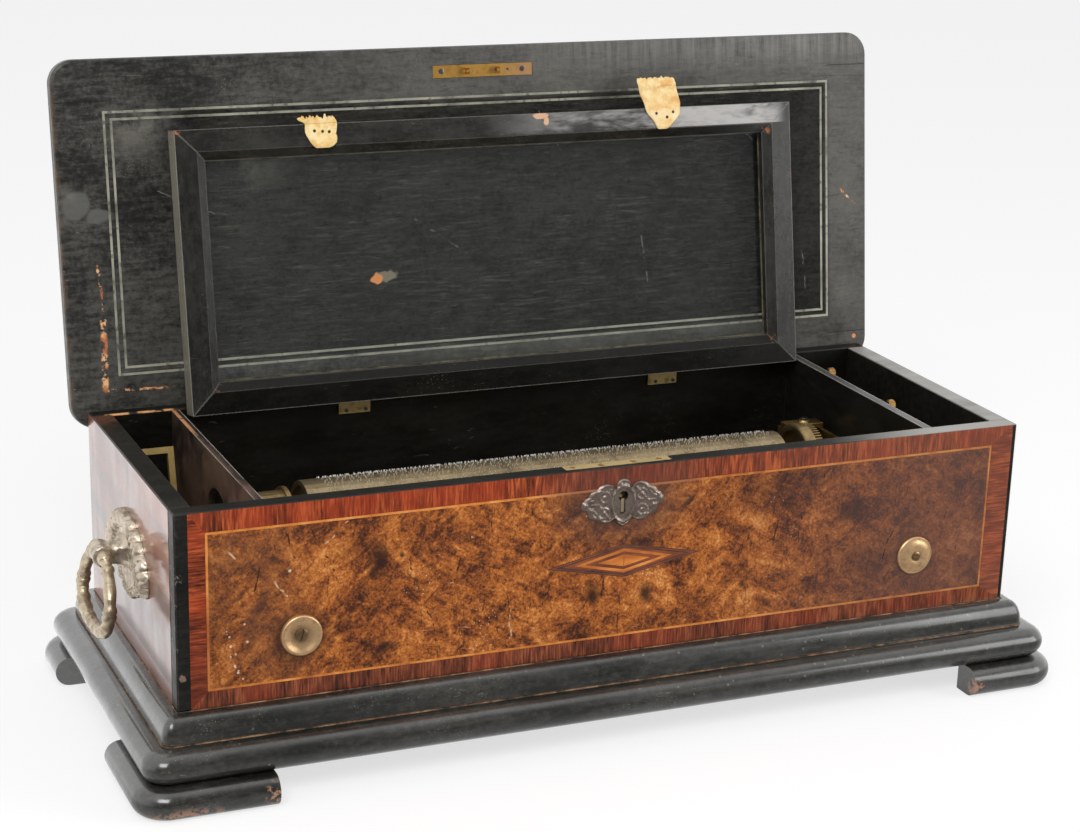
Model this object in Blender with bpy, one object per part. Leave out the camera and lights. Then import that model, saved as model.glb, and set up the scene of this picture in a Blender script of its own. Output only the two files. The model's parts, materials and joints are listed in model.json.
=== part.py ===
"""Lever wound cylinder music box in a veneered case on a moulded plinth.

The case frame has X to the right, Y to the back and Z up. Everything is laid out
with both lids closed, with Z zero at the underside of the case walls. The lids are
then swung open on their pivots, and the whole box is stood on the origin by its feet.
"""
import math

import bmesh
import bpy
from mathutils import Matrix, Vector

mm = 0.001
deg = math.pi / 180

# Running and seating clearances
seat_gap = 0.3 * mm
running_gap = 0.35 * mm
cut_overrun = 2.0 * mm
merge_distance = 0.001 * mm

# Case walls
case_width = 620 * mm
case_depth = 230 * mm
case_height = 134 * mm
front_wall = 13 * mm
back_wall = 11 * mm
end_wall = 15 * mm
bottom_board = 8 * mm
wood_arris = 0.8 * mm
left_compartment_width = 42 * mm
right_compartment_width = 47.5 * mm
left_partition_thickness = 5.5 * mm
right_partition_thickness = 6.5 * mm
partition_drop = 0.8 * mm
ledge_thickness = 6 * mm
ledge_top_drop = 12 * mm

# Plinth and feet
upper_moulding_height = 18 * mm
upper_moulding_projection = 13 * mm
lower_moulding_height = 22 * mm
lower_moulding_projection = 28 * mm
fillet_height = 1.6 * mm
fillet_step = 2.4 * mm
fillet_share = 0.2
foot_height = 21 * mm
foot_projection = 35 * mm
foot_front_length = 100 * mm
foot_side_length = 58 * mm
foot_bracket_width = 24 * mm
plinth_corner_radius = 16 * mm
bullnose_steps = 4
corner_steps = 4

# Lid
lid_thickness = 14 * mm
lid_end_overhang = 10.5 * mm
lid_front_overhang = 9 * mm
lid_rear_overhang = 17.5 * mm
lid_corner_radius = 17 * mm
lid_corner_steps = 9
lid_top_edge_radius = 4 * mm
lid_bottom_edge_radius = 2 * mm
lid_top_edge_steps = 3
lid_bottom_edge_steps = 2
lid_open_angle = 98 * deg
lid_pivot_behind_case = 4 * mm

# Lid hinges
lid_hinge_spread = 420 * mm
lid_hinge_length = 46 * mm
lid_hinge_leaf = 1.3 * mm
lid_hinge_leaf_width = 13 * mm
lid_knuckle_radius = 3.5 * mm
lid_hinge_pin_radius = 1.2 * mm
middle_knuckle_share = 0.4
knuckle_steps = 14
neck_inset = 0.15 * mm

# Glass lid
glass_frame_left_gap = 5 * mm
glass_frame_right_gap = 2.5 * mm
glass_frame_front_gap = 3.8 * mm
glass_frame_thickness = 16.5 * mm
glass_lid_drop = 4 * mm
glass_rail_width = 15.5 * mm
glass_rebate_width = 6.5 * mm
glass_rebate_depth = 5.5 * mm
glass_bead_depth = 5 * mm
glass_thickness = 2.2 * mm
glass_edge_gap = 1 * mm
glass_lid_open_angle = 100.5 * deg
glass_knuckle_radius = 1.9 * mm
glass_hinge_pin_radius = 0.75 * mm
glass_hinge_length = 24 * mm
glass_hinge_leaf = 1.1 * mm
glass_hinge_leaf_height = 11 * mm
glass_hinge_left_inset = 125.5 * mm
glass_hinge_right_inset = 106.5 * mm

# Leather tabs on the underside of the front rail
tab_left_inset = 106.5 * mm
tab_right_inset = 109.5 * mm
tab_left_width = 23 * mm
tab_right_width = 31 * mm
tab_thickness = 1.6 * mm
tab_left_reach = 19 * mm
tab_right_reach = 15 * mm
tab_front_inset = 1.5 * mm
tab_edge_share = 0.33

# Lock, keep plate and escutcheon
keep_plate_length = 78 * mm
keep_plate_width = 9 * mm
keep_plate_thickness = 1.4 * mm
keep_plate_x = -2 * mm
keep_loop_spacing = 24 * mm
keep_loop_length = 2.4 * mm
keep_loop_width = 4.4 * mm
keep_loop_height = 7 * mm
keep_loop_leg = 1 * mm
selvedge_thickness = 1.6 * mm
selvedge_slot_gap = 0.6 * mm
lock_case_length = 60 * mm
lock_case_height = 42 * mm
lock_case_inset = 0.6 * mm
lock_rim_wood = 4.5 * mm
lock_keyway_depth = 7 * mm
bolt_bar_height = 3 * mm
bolt_width = 1.6 * mm
bolt_post_length = 3 * mm
bolt_finger_length = 4.2 * mm
bolt_finger_height = 1.8 * mm
bolt_throw = 4 * mm
escutcheon_width = 62 * mm
escutcheon_height = 34 * mm
escutcheon_thickness = 2.2 * mm
escutcheon_x = -1 * mm
escutcheon_drop = 25.2 * mm
keyhole_width = 7.5 * mm
keyhole_height = 17 * mm
keyhole_slot_share = 0.5
keyhole_foot_steps = 4

# Bedplate screws and washers on the front
washer_radius = 14 * mm
washer_thickness = 3.2 * mm
washer_left_inset = 8.7 * mm
washer_right_inset = 6 * mm
washer_rim_share = 0.93
washer_rim_rise_share = 0.55
washer_crown_share = 0.72
washer_crown_inset_share = 0.5
washer_seat_share = 0.6
screw_z = 43 * mm
screw_head_radius = 5.2 * mm
screw_shank_radius = 2.4 * mm

# Carrying handles
handle_plate_width = 106 * mm
handle_plate_height = 60 * mm
handle_plate_centre_share = 0.5
handle_plate_thickness = 7 * mm
handle_boss_radius = 7.5 * mm
handle_boss_length = 18 * mm
handle_boss_neck_share = 0.8
bail_pivot_out = 20 * mm
bail_pivot_rise = 4 * mm
bail_half_width = 38 * mm
bail_drop = 50 * mm
bail_tube_radius = 3.7 * mm
bail_joint_radius = 4.7 * mm
bail_pin_radius = 2 * mm
bail_bottom_share = 0.9
bail_path_steps = 36
bail_sides = 8
bail_knuckle_steps = (6, 12, 24, 30)

# Movement: bedplate and cylinder
bedplate_left_gap = 11.5 * mm
bedplate_right_gap = 3 * mm
bedplate_front_gap = 6 * mm
bedplate_back_margin = 16 * mm
bedplate_thickness = 9 * mm
bedplate_top_z = 48 * mm
bedplate_boss_radius = 6.5 * mm
bedplate_foot_radius = 9 * mm
bedplate_foot_inset = 18 * mm
bedplate_boss_reach = 7.5 * mm
cylinder_setback = 84 * mm
cylinder_rise = 35.5 * mm
cylinder_radius = 27 * mm
cylinder_left_inset = 42 * mm
cylinder_end_recess = 3 * mm
cylinder_rim_width = 3.5 * mm
arbor_radius = 3.5 * mm
cylinder_steps = 32

# Comb
comb_left_inset = 14 * mm
comb_right_inset = 7 * mm
comb_teeth = 86
comb_tooth_share = 0.72
comb_tip_share = 0.42
comb_thickness = 2.8 * mm
comb_tip_gap = 1.3 * mm
comb_bass_length = 28 * mm
comb_treble_length = 14 * mm
comb_back_length = 20 * mm
comb_base_thickness = 22 * mm
comb_base_foot = 30 * mm
comb_base_foot_height = 6 * mm
comb_base_top_share = 0.8

# Bridges
bridge_thickness = 6 * mm
bridge_width = 26 * mm
bridge_head_radius = 10 * mm
bridge_gap = 3.5 * mm
bridge_steps = 12
bridge_flare_share = 0.2
bridge_taper_share = 0.5

# Spring barrel and winding work
barrel_radius = 22 * mm
barrel_flange_radius = 24.5 * mm
barrel_length = 26 * mm
barrel_flange = 3 * mm
barrel_clearance = 1 * mm
winding_module = 1.18 * mm
winding_wheel_teeth = 48
winding_pinion_teeth = 34
winding_wheel_thickness = 3.5 * mm
winding_direction = -37 * deg
winding_arbor_radius = 4 * mm
end_plate_thickness = 4 * mm
ratchet_teeth = 24
ratchet_radius = 12 * mm
ratchet_tooth_height = 2 * mm
ratchet_thickness = 3 * mm
click_length = 16 * mm
click_width = 5 * mm
click_thickness = 2.6 * mm
click_pivot_radius = 1.8 * mm
click_nose_share = 0.4
partition_hole_radius = 28 * mm

# Winding lever
lever_loop_width = 24 * mm
lever_loop_side_gap = 3 * mm
lever_bar = 4.2 * mm
lever_tip_setback = 18.4 * mm
lever_tip_drop = 8 * mm
lever_loop_height = 44 * mm
lever_hub_radius = 9 * mm

# Great wheel and governor
wheel_module = 0.83 * mm
great_wheel_teeth = 72
great_wheel_inset = 52 * mm
great_wheel_gap = 15 * mm
great_wheel_thickness = 14 * mm
great_wheel_rim = 4 * mm
great_wheel_recess = 4.5 * mm
great_wheel_tooth_width = 6 * mm
great_wheel_flange_proud = 0.3 * mm
great_wheel_flange_round = 2.4 * mm
great_wheel_flange_steps = 40
great_wheel_round_steps = 3
first_pinion_gap = 0.9 * mm
first_pinion_teeth = 10
first_pinion_direction = -30 * deg
governor_module = 0.68 * mm
first_wheel_teeth = 42
second_pinion_teeth = 8
second_pinion_direction = 75 * deg
worm_wheel_module = 0.8 * mm
worm_wheel_teeth = 26
governor_wheel_thickness = 2 * mm
governor_arbor_radius = 1.5 * mm
governor_side_gap = 4 * mm
governor_plate = 3 * mm
governor_inner_width = 24 * mm
governor_front_reach = 15 * mm
governor_back_reach = 58 * mm
governor_base_height = 2.8 * mm
governor_top_z = 95.5 * mm
governor_cock_height = 4 * mm
governor_cock_dome = 2.5 * mm
governor_cock_width = 13 * mm
governor_dome_foot_share = 0.8
governor_dome_shoulder_share = 0.6
governor_dome_rise_share = 0.7
screw_end_gap = 1.2 * mm
worm_radius = 2.4 * mm
worm_gap = 0.3 * mm
fly_radius = 9 * mm
fly_height = 12 * mm
fly_thickness = 1.2 * mm

# Stop and change levers with their knobs in the right compartment
knob_radius = 4.4 * mm
knob_thickness = 4 * mm
knob_drop = 5.6 * mm
knob_rim_share = 0.8
knob_edge_share = 0.2
knob_side_share = 0.1
knob_face_share = 0.3
stop_knob_y = -30 * mm
change_knob_y = 60 * mm
control_lever_thickness = 2 * mm
control_lever_width = 6 * mm
control_pivot_drop = 62 * mm
control_arbor_radius = 2.5 * mm
control_inner_arm = 20 * mm
control_inner_arm_thickness = 2 * mm
control_side_gap = 1.2 * mm
control_inner_tip_share = 0.6
lever_end_steps = 6

# Shares of tooth form
gear_addendum_share = 0.7
gear_dedendum_share = 1.1
gear_tip_share = 0.3
gear_root_share = 0.56
smooth_angle = 32 * deg

# Outlines, as shares of half the width and half the height
escutcheon_outline_shares = (
    (0.0, 1.0), (0.10, 0.97), (0.20, 0.82), (0.32, 0.80), (0.52, 0.90), (0.70, 0.78),
    (0.80, 0.52), (0.92, 0.34), (1.0, 0.0))
handle_outline_shares = (
    (0.0, 1.0), (0.10, 0.99), (0.17, 0.86), (0.30, 0.90), (0.40, 0.72), (0.56, 0.74),
    (0.64, 0.54), (0.80, 0.52), (0.84, 0.30), (1.0, 0.20), (0.97, 0.0))
handle_relief_shares = ((1.0, 0.0), (0.99, 0.34), (0.80, 0.72), (0.45, 1.0))
bail_route_shares = (
    (0.0, 0.0), (0.25, -0.02), (0.62, -0.14), (0.90, -0.34), (1.0, -0.56),
    (0.90, -0.80), (0.58, -0.96), (0.0, -1.0))

# Steps of round forms
fine_steps = 28
round_steps = 18
small_steps = 12



def step_along(direction, distance):
    """A step of the given length in the plane across X, at an angle from the back upwards."""
    return Vector((0, distance * math.cos(direction), distance * math.sin(direction)))


# Places worked out from the sizes above
half_width = case_width / 2
front_y = -case_depth / 2
back_y = case_depth / 2
inner_front_y = front_y + front_wall
inner_back_y = back_y - back_wall
inner_left_x = -half_width + end_wall
inner_right_x = half_width - end_wall
left_partition_left_x = inner_left_x + left_compartment_width
left_partition_right_x = left_partition_left_x + left_partition_thickness
right_partition_right_x = inner_right_x - right_compartment_width
right_partition_left_x = right_partition_right_x - right_partition_thickness
partition_top_z = case_height - partition_drop
lid_underside_z = case_height + seat_gap
lid_pivot = Vector((0, back_y + lid_pivot_behind_case, lid_underside_z - seat_gap / 2))
glass_top_z = case_height - glass_lid_drop
glass_bottom_z = glass_top_z - glass_frame_thickness
glass_pivot = Vector((0, inner_back_y - glass_hinge_leaf - glass_knuckle_radius, glass_top_z))
glass_back_y = glass_pivot.y
glass_front_y = inner_front_y + glass_frame_front_gap
glass_left_x = left_partition_right_x + glass_frame_left_gap
glass_right_x = right_partition_left_x - glass_frame_right_gap
escutcheon_z = case_height - escutcheon_drop
handle_plate_z = case_height * handle_plate_centre_share
bail_pivot_z = handle_plate_z + bail_pivot_rise
bedplate_left_x = left_partition_right_x + bedplate_left_gap
bedplate_right_x = right_partition_left_x - bedplate_right_gap
bedplate_front_y = inner_front_y + bedplate_front_gap
washer_left_x = bedplate_left_x + washer_left_inset
washer_right_x = bedplate_right_x - washer_right_inset
cylinder_y = bedplate_front_y + cylinder_setback
cylinder_z = bedplate_top_z + cylinder_rise
cylinder_left_x = bedplate_left_x + cylinder_left_inset
great_wheel_left_x = bedplate_right_x - great_wheel_inset
cylinder_right_x = great_wheel_left_x - great_wheel_gap
comb_left_x = cylinder_left_x + comb_left_inset
comb_right_x = cylinder_right_x - comb_right_inset
comb_pitch = (comb_right_x - comb_left_x) / comb_teeth
governor_left_x = great_wheel_left_x + great_wheel_thickness + governor_side_gap
governor_front_y = cylinder_y + governor_front_reach
governor_back_y = cylinder_y + governor_back_reach
bedplate_back_y = governor_back_y + bedplate_back_margin
lever_loop_left_x = inner_left_x + lever_loop_side_gap
knob_z = case_height - knob_drop
control_pivot_z = case_height - control_pivot_drop
cylinder_axis = Vector((0, cylinder_y, cylinder_z))
winding_distance = winding_module * (winding_wheel_teeth + winding_pinion_teeth) / 2
winding_axis = cylinder_axis + step_along(winding_direction, winding_distance)
lever_tip_y = winding_axis.y + lever_tip_setback
lever_tip_z = case_height - lever_tip_drop
first_distance = wheel_module * (great_wheel_teeth + first_pinion_teeth) / 2
first_axis = cylinder_axis + step_along(first_pinion_direction, first_distance)
second_distance = governor_module * (first_wheel_teeth + second_pinion_teeth) / 2
second_axis = first_axis + step_along(second_pinion_direction, second_distance)
governor_inner_left_x = governor_left_x + governor_plate
governor_inner_right_x = governor_inner_left_x + governor_inner_width
first_wheel_x = governor_inner_left_x + governor_wheel_thickness
second_wheel_x = (governor_inner_left_x + governor_inner_right_x) / 2 + governor_wheel_thickness / 2
worm_wheel_tip = worm_wheel_module * (worm_wheel_teeth / 2 + gear_addendum_share)
worm_axis = Vector((second_wheel_x + governor_wheel_thickness / 2,
                    second_axis.y + worm_wheel_tip + worm_gap + worm_radius, 0))
bedplate_bottom_z = bedplate_top_z - bedplate_thickness
bedplate_seat_z = bedplate_top_z + seat_gap
tip_y = cylinder_y - cylinder_radius - comb_tip_gap

scene = bpy.context.scene
pivot_points = {}
pivot_empties = {}


def clear_scene():
    for item in list(bpy.data.objects):
        bpy.data.objects.remove(item, do_unlink=True)


def material(name, colour, roughness, metallic=0.0):
    made = bpy.data.materials.new(name)
    made.use_nodes = True
    shader = made.node_tree.nodes["Principled BSDF"]
    shader.inputs["Base Color"].default_value = (*colour, 1.0)
    shader.inputs["Roughness"].default_value = roughness
    shader.inputs["Metallic"].default_value = metallic
    made.diffuse_color = (*colour, 1.0)
    return made


def pivot(name, point, parent=None):
    """An empty on a joint's axis, which carries everything that moves with the joint."""
    empty = bpy.data.objects.new(name, None)
    empty.empty_display_size = seat_gap
    scene.collection.objects.link(empty)
    origin = pivot_points[parent] if parent else Vector((0, 0, 0))
    empty.parent = pivot_empties[parent] if parent else None
    empty.location = Vector(point) - origin
    pivot_points[name] = Vector(point)
    pivot_empties[name] = empty
    return empty


def add_object(name, bm, made_of, carrier="case"):
    """Close up the mesh, shade it and hang it on its carrier's empty."""
    bmesh.ops.recalc_face_normals(bm, faces=bm.faces)
    mesh = bpy.data.meshes.new(name)
    bm.to_mesh(mesh)
    bm.free()
    mesh.transform(Matrix.Translation(-pivot_points[carrier]))
    mesh.shade_smooth()
    mesh.set_sharp_from_angle(angle=smooth_angle)
    made = bpy.data.objects.new(name, mesh)
    scene.collection.objects.link(made)
    made.parent = pivot_empties[carrier]
    if made_of:
        mesh.materials.append(made_of)
    return made


def bevel(bm, edges, width, segments=1):
    bmesh.ops.bevel(bm, geom=list(edges), offset=width, segments=segments, profile=0.5, affect='EDGES')


def block_mesh(low, high, edge=0, segments=1):
    bm = bmesh.new()
    bmesh.ops.create_cube(bm, size=1)
    size = Vector(high) - Vector(low)
    centre = (Vector(high) + Vector(low)) / 2
    bmesh.ops.scale(bm, vec=size, verts=bm.verts)
    bmesh.ops.translate(bm, vec=centre, verts=bm.verts)
    if edge:
        bevel(bm, bm.edges, edge, segments)
    return bm


def block(name, low, high, made_of, carrier="case", edge=0, segments=1):
    return add_object(name, block_mesh(low, high, edge, segments), made_of, carrier)


def along(axis, u, v, w):
    """A point from two outline coordinates and its height along the named axis."""
    return {"X": Vector((w, u, v)), "Y": Vector((u, w, v)), "Z": Vector((u, v, w))}[axis]


def prism_mesh(outline, axis, start, end):
    bm = bmesh.new()
    low = [bm.verts.new(along(axis, u, v, start)) for u, v in outline]
    face = bm.faces.new(low)
    grown = bmesh.ops.extrude_face_region(bm, geom=[face])
    high = [g for g in grown["geom"] if isinstance(g, bmesh.types.BMVert)]
    bmesh.ops.translate(bm, vec=along(axis, 0, 0, end - start), verts=high)
    return bm


def rim_edges(bm, axis, level):
    """The edges of a mesh that lie at one place along the named axis."""
    place = "XYZ".index(axis)
    return [e for e in bm.edges if all(abs(v.co[place] - level) < merge_distance for v in e.verts)]


def prism(name, outline, axis, start, end, made_of, carrier="case", edge=0):
    bm = prism_mesh(outline, axis, start, end)
    if edge:
        bevel(bm, rim_edges(bm, axis, start) + rim_edges(bm, axis, end), edge)
    return add_object(name, bm, made_of, carrier)


def turned_mesh(profile, axis, centre, steps, closed=False):
    """Spin a profile of (radius, place along the axis) about the named axis through centre."""
    bm = bmesh.new()
    verts = [bm.verts.new(along(axis, radius, 0, place)) for radius, place in profile]
    edges = [bm.edges.new(pair) for pair in zip(verts, verts[1:])]
    if closed:
        edges.append(bm.edges.new((verts[-1], verts[0])))
    direction = along(axis, 0, 0, 1)
    bmesh.ops.spin(bm, geom=verts + edges, cent=(0, 0, 0), axis=direction, angle=2 * math.pi,
                   steps=steps, use_merge=True)
    bmesh.ops.remove_doubles(bm, verts=bm.verts, dist=merge_distance)
    offset = Vector(centre)
    offset["XYZ".index(axis)] = 0
    bmesh.ops.translate(bm, vec=offset, verts=bm.verts)
    return bm


def turned(name, profile, axis, centre, steps, made_of, carrier="case", closed=False):
    return add_object(name, turned_mesh(profile, axis, centre, steps, closed), made_of, carrier)


def rod_mesh(axis, centre, radius, start, end, steps=round_steps):
    return turned_mesh([(0, start), (radius, start), (radius, end), (0, end)], axis, centre, steps)


def as_tool(tool):
    tool.hide_render = True
    tool.display_type = 'WIRE'
    return tool


def combine(target, bm, operation, carrier="case"):
    """Cut a shape from the target, or join it on, with a hidden tool object."""
    tool = as_tool(add_object(f"{target.name}.tool{len(target.modifiers)}", bm, None, carrier))
    step = target.modifiers.new(f"{operation.lower()} {len(target.modifiers)}", 'BOOLEAN')
    step.operation = operation
    step.object = tool
    step.solver = 'EXACT'
    return target


def cut(target, bm, carrier="case"):
    return combine(target, bm, 'DIFFERENCE', carrier)


def join(target, bm, carrier="case"):
    return combine(target, bm, 'UNION', carrier)


def drill(target, axis, centre, radius, start, end, carrier="case", steps=round_steps):
    bore = rod_mesh(axis, centre, radius, start - cut_overrun, end + cut_overrun, steps)
    return cut(target, bore, carrier)


def arc(centre, radius, start, end, steps):
    return [(centre[0] + radius * math.cos(start + (end - start) * i / steps),
             centre[1] + radius * math.sin(start + (end - start) * i / steps)) for i in range(steps + 1)]


def rounded_rectangle(low, high, radius, steps):
    (x0, y0), (x1, y1) = low, high
    quarter = math.pi / 2
    corners = [((x1 - radius, y0 + radius), -quarter), ((x1 - radius, y1 - radius), 0),
               ((x0 + radius, y1 - radius), quarter), ((x0 + radius, y0 + radius), 2 * quarter)]
    outline = []
    for centre, start in corners:
        outline += arc(centre, radius, start, start + quarter, steps)
    return outline


def four_ways(quarter):
    """A whole outline from one quarter of it, drawn from the top to the right hand side."""
    points = list(quarter) + [(u, -v) for u, v in reversed(quarter[:-1])]
    return points + [(-u, -v) for u, v in quarter[1:]] + [(-u, v) for u, v in reversed(quarter[1:-1])]


def skin(bm, rings):
    """Close a row of rings of points into one solid."""
    bm.faces.new(rings[0])
    bm.faces.new(rings[-1])
    for near, far in zip(rings, rings[1:]):
        for i, first in enumerate(near):
            j = (i + 1) % len(near)
            bm.faces.new((first, near[j], far[j], far[i]))


def gear_outline(centre, teeth, module, phase=0.0):
    """A gear's outline as flats and flanks about centre, with phase in tooth pitches."""
    tip = module * (teeth / 2 + gear_addendum_share)
    root = module * (teeth / 2 - gear_dedendum_share)
    pitch = 2 * math.pi / teeth
    outline = []
    for i in range(teeth):
        middle = (i + phase) * pitch
        for radius, share in ((root, -gear_root_share), (tip, -gear_tip_share),
                              (tip, gear_tip_share), (root, gear_root_share)):
            angle = middle + share * pitch / 2
            outline.append((centre.y + radius * math.cos(angle), centre.z + radius * math.sin(angle)))
    return outline


def ratchet_outline(centre, teeth, radius, height):
    pitch = 2 * math.pi / teeth
    outline = []
    for i in range(teeth):
        outline.append((centre.y + radius * math.cos(i * pitch), centre.z + radius * math.sin(i * pitch)))
        low = radius - height
        angle = (i + 1) * pitch - pitch / teeth
        outline.append((centre.y + low * math.cos(angle), centre.z + low * math.sin(angle)))
    return outline


def meshing_phase(driver_teeth, driven_teeth, direction):
    """The phase that puts the driven gear's gap where the driver's tooth points at it."""
    driver_pitch = 2 * math.pi / driver_teeth
    driven_pitch = 2 * math.pi / driven_teeth
    ahead = (direction / driver_pitch) % 1.0
    facing = direction + math.pi
    return (facing / driven_pitch + 0.5 + ahead) % 1.0


def bullnose_profile(outer, bottom, top, steps, lip=0):
    """Half round section of a moulding as (distance out, height), from the top inwards."""
    radius = (top - bottom) / 2
    centre = outer - radius
    points = arc((centre, bottom + radius), radius, math.pi / 2, -math.pi / 2, steps * 2)
    return points + ([(centre, bottom - lip)] if lip else [])


def moulded_slab(name, profile, made_of, carrier="case"):
    """A slab whose edge follows a profile of (projection, height) round the whole case."""
    bm = bmesh.new()
    rings = []
    for projection, height in profile:
        radius = max(plinth_corner_radius - (lower_moulding_projection - projection), merge_distance * 2)
        outline = rounded_rectangle((-half_width - projection, front_y - projection),
                                    (half_width + projection, back_y + projection), radius, corner_steps)
        rings.append([bm.verts.new((x, y, height)) for x, y in outline])
    skin(bm, rings)
    return add_object(name, bm, made_of, carrier)


def make_materials():
    return {
        "burl": material("burl_walnut", (0.30, 0.115, 0.035), 0.3),
        "ebonised": material("ebonised_wood", (0.02, 0.02, 0.02), 0.4),
        "rosewood": material("rosewood", (0.12, 0.04, 0.03), 0.25),
        "brass": material("aged_brass", (0.60, 0.47, 0.25), 0.35, 1.0),
        "pale_brass": material("pale_cast_brass", (0.55, 0.50, 0.40), 0.4, 1.0),
        "pewter": material("dark_bronze", (0.12, 0.11, 0.11), 0.4, 1.0),
        "steel": material("blued_steel", (0.35, 0.36, 0.38), 0.3, 1.0),
        "iron": material("gilt_iron", (0.42, 0.34, 0.18), 0.5, 1.0),
        "glass": material("window_glass", (0.9, 0.95, 0.95), 0.05),
        "leather": material("tan_leather", (0.75, 0.50, 0.27), 0.8),
    }


def build_plinth(mats):
    upper = bullnose_profile(upper_moulding_projection, -upper_moulding_height + fillet_height, -seat_gap,
                             bullnose_steps)
    foot_of_upper = upper[-1][0] + (upper_moulding_projection - upper[-1][0]) * fillet_share
    fillet_out = upper_moulding_projection + fillet_step
    upper += [(foot_of_upper, -upper_moulding_height + fillet_height),
              (fillet_out, -upper_moulding_height + fillet_height), (fillet_out, -upper_moulding_height)]
    moulded_slab("plinth_upper_moulding", upper, mats["ebonised"])
    lower_top = -upper_moulding_height - seat_gap
    lower_bottom = lower_top - lower_moulding_height
    lower = bullnose_profile(lower_moulding_projection, lower_bottom, lower_top, bullnose_steps)
    moulded_slab("plinth_lower_moulding", lower, mats["ebonised"])
    build_feet(mats, lower_bottom - seat_gap)


def build_feet(mats, top_z):
    """Four bracket feet: a bullnosed moulding mitred round each corner."""
    profile = bullnose_profile(foot_projection, top_z - foot_height, top_z, bullnose_steps)
    inner = foot_projection - foot_bracket_width
    section = profile + [(inner, top_z - foot_height), (inner, top_z)]
    turn = plinth_corner_radius
    for name, sx, sy in (("foot_front_left", -1, -1), ("foot_front_right", 1, -1),
                         ("foot_rear_left", -1, 1), ("foot_rear_right", 1, 1)):
        bm = bmesh.new()
        rings = []
        corner_x = half_width + foot_projection - turn
        corner_y = -front_y + foot_projection - turn
        stations = [(half_width + foot_projection - foot_front_length, corner_y, math.pi / 2)]
        stations += [(corner_x, corner_y, math.pi / 2 * (1 - i / corner_steps))
                     for i in range(corner_steps + 1)]
        stations += [(corner_x, -front_y + foot_projection - foot_side_length, 0)]
        for x, y, angle in stations:
            ring = []
            for projection, height in section:
                out = projection - foot_projection + turn
                px = x + out * math.cos(angle)
                py = y + out * math.sin(angle)
                if out < 0:
                    px = min(x, corner_x) + (out if angle < math.pi / 2 else 0)
                    py = min(y, corner_y) + (out if angle > 0 else 0)
                ring.append(bm.verts.new((sx * px, sy * py, height)))
            rings.append(ring)
        skin(bm, rings)
        bmesh.ops.remove_doubles(bm, verts=bm.verts, dist=merge_distance)
        add_object(name, bm, mats["ebonised"])


def build_case(mats):
    bottom = seat_gap
    front = block("case_front", (-half_width, front_y, bottom), (half_width, inner_front_y, case_height),
                  mats["burl"], edge=wood_arris)
    block("case_back", (-half_width, inner_back_y, bottom), (half_width, back_y, case_height),
          mats["ebonised"], edge=wood_arris)
    for name, x0, x1 in (("case_left_end", -half_width, inner_left_x),
                         ("case_right_end", inner_right_x, half_width)):
        block(name, (x0, inner_front_y + seat_gap, bottom), (x1, inner_back_y - seat_gap, case_height),
              mats["rosewood"], edge=wood_arris)
    block("case_bottom_board", (inner_left_x + seat_gap, inner_front_y + seat_gap, bottom),
          (inner_right_x - seat_gap, inner_back_y - seat_gap, bottom + bottom_board), mats["ebonised"])
    floor_z = bottom + bottom_board + seat_gap
    left = block("left_partition", (left_partition_left_x, inner_front_y + seat_gap, floor_z),
                 (left_partition_right_x, inner_back_y - seat_gap, partition_top_z), mats["ebonised"])
    drill(left, "X", cylinder_axis, partition_hole_radius, left_partition_left_x, left_partition_right_x,
          steps=fine_steps)
    drill(left, "X", winding_axis, winding_arbor_radius + running_gap, left_partition_left_x,
          left_partition_right_x)
    right = block("right_partition", (right_partition_left_x, inner_front_y + seat_gap, floor_z),
                  (right_partition_right_x, inner_back_y - seat_gap, partition_top_z), mats["ebonised"])
    ledge_left = right_partition_right_x + seat_gap
    ledge = block("right_compartment_ledge", (ledge_left, inner_front_y + seat_gap, floor_z),
                  (ledge_left + ledge_thickness, inner_back_y - seat_gap, case_height - ledge_top_drop),
                  mats["ebonised"])
    for y in (stop_knob_y, change_knob_y):
        centre = Vector((0, y, control_pivot_z))
        bore = control_arbor_radius + running_gap
        drill(right, "X", centre, bore, right_partition_left_x, right_partition_right_x, steps=small_steps)
        drill(ledge, "X", centre, bore, ledge_left, ledge_left + ledge_thickness, steps=small_steps)
    return front


def join_knuckle(leaf, axis, radius, start, end, leaf_low, leaf_high, carrier):
    """Roll a knuckle on to a leaf: the barrel round the pin and the neck that carries it."""
    join(leaf, rod_mesh("X", axis, radius, start, end, knuckle_steps), carrier)
    neck_y = axis.y - radius - running_gap - lid_hinge_leaf
    join(leaf, block_mesh((start + neck_inset, neck_y, leaf_low + neck_inset),
                          (end - neck_inset, axis.y, leaf_high - neck_inset)), carrier)


def build_lid(mats):
    back = bpy.data.objects["case_back"]
    top_z = lid_underside_z + lid_thickness
    low = (-half_width - lid_end_overhang, front_y - lid_front_overhang)
    high = (half_width + lid_end_overhang, back_y + lid_rear_overhang)
    outline = rounded_rectangle(low, high, lid_corner_radius, lid_corner_steps)
    bm = prism_mesh(outline, "Z", lid_underside_z, top_z)
    bevel(bm, rim_edges(bm, "Z", top_z), lid_top_edge_radius, lid_top_edge_steps)
    bevel(bm, rim_edges(bm, "Z", lid_underside_z), lid_bottom_edge_radius, lid_bottom_edge_steps)
    lid = add_object("lid_panel", bm, mats["ebonised"], "lid_pivot")
    for side, x in (("left", -lid_hinge_spread / 2), ("right", lid_hinge_spread / 2)):
        build_lid_hinge(mats, side, x, lid, back)


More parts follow.
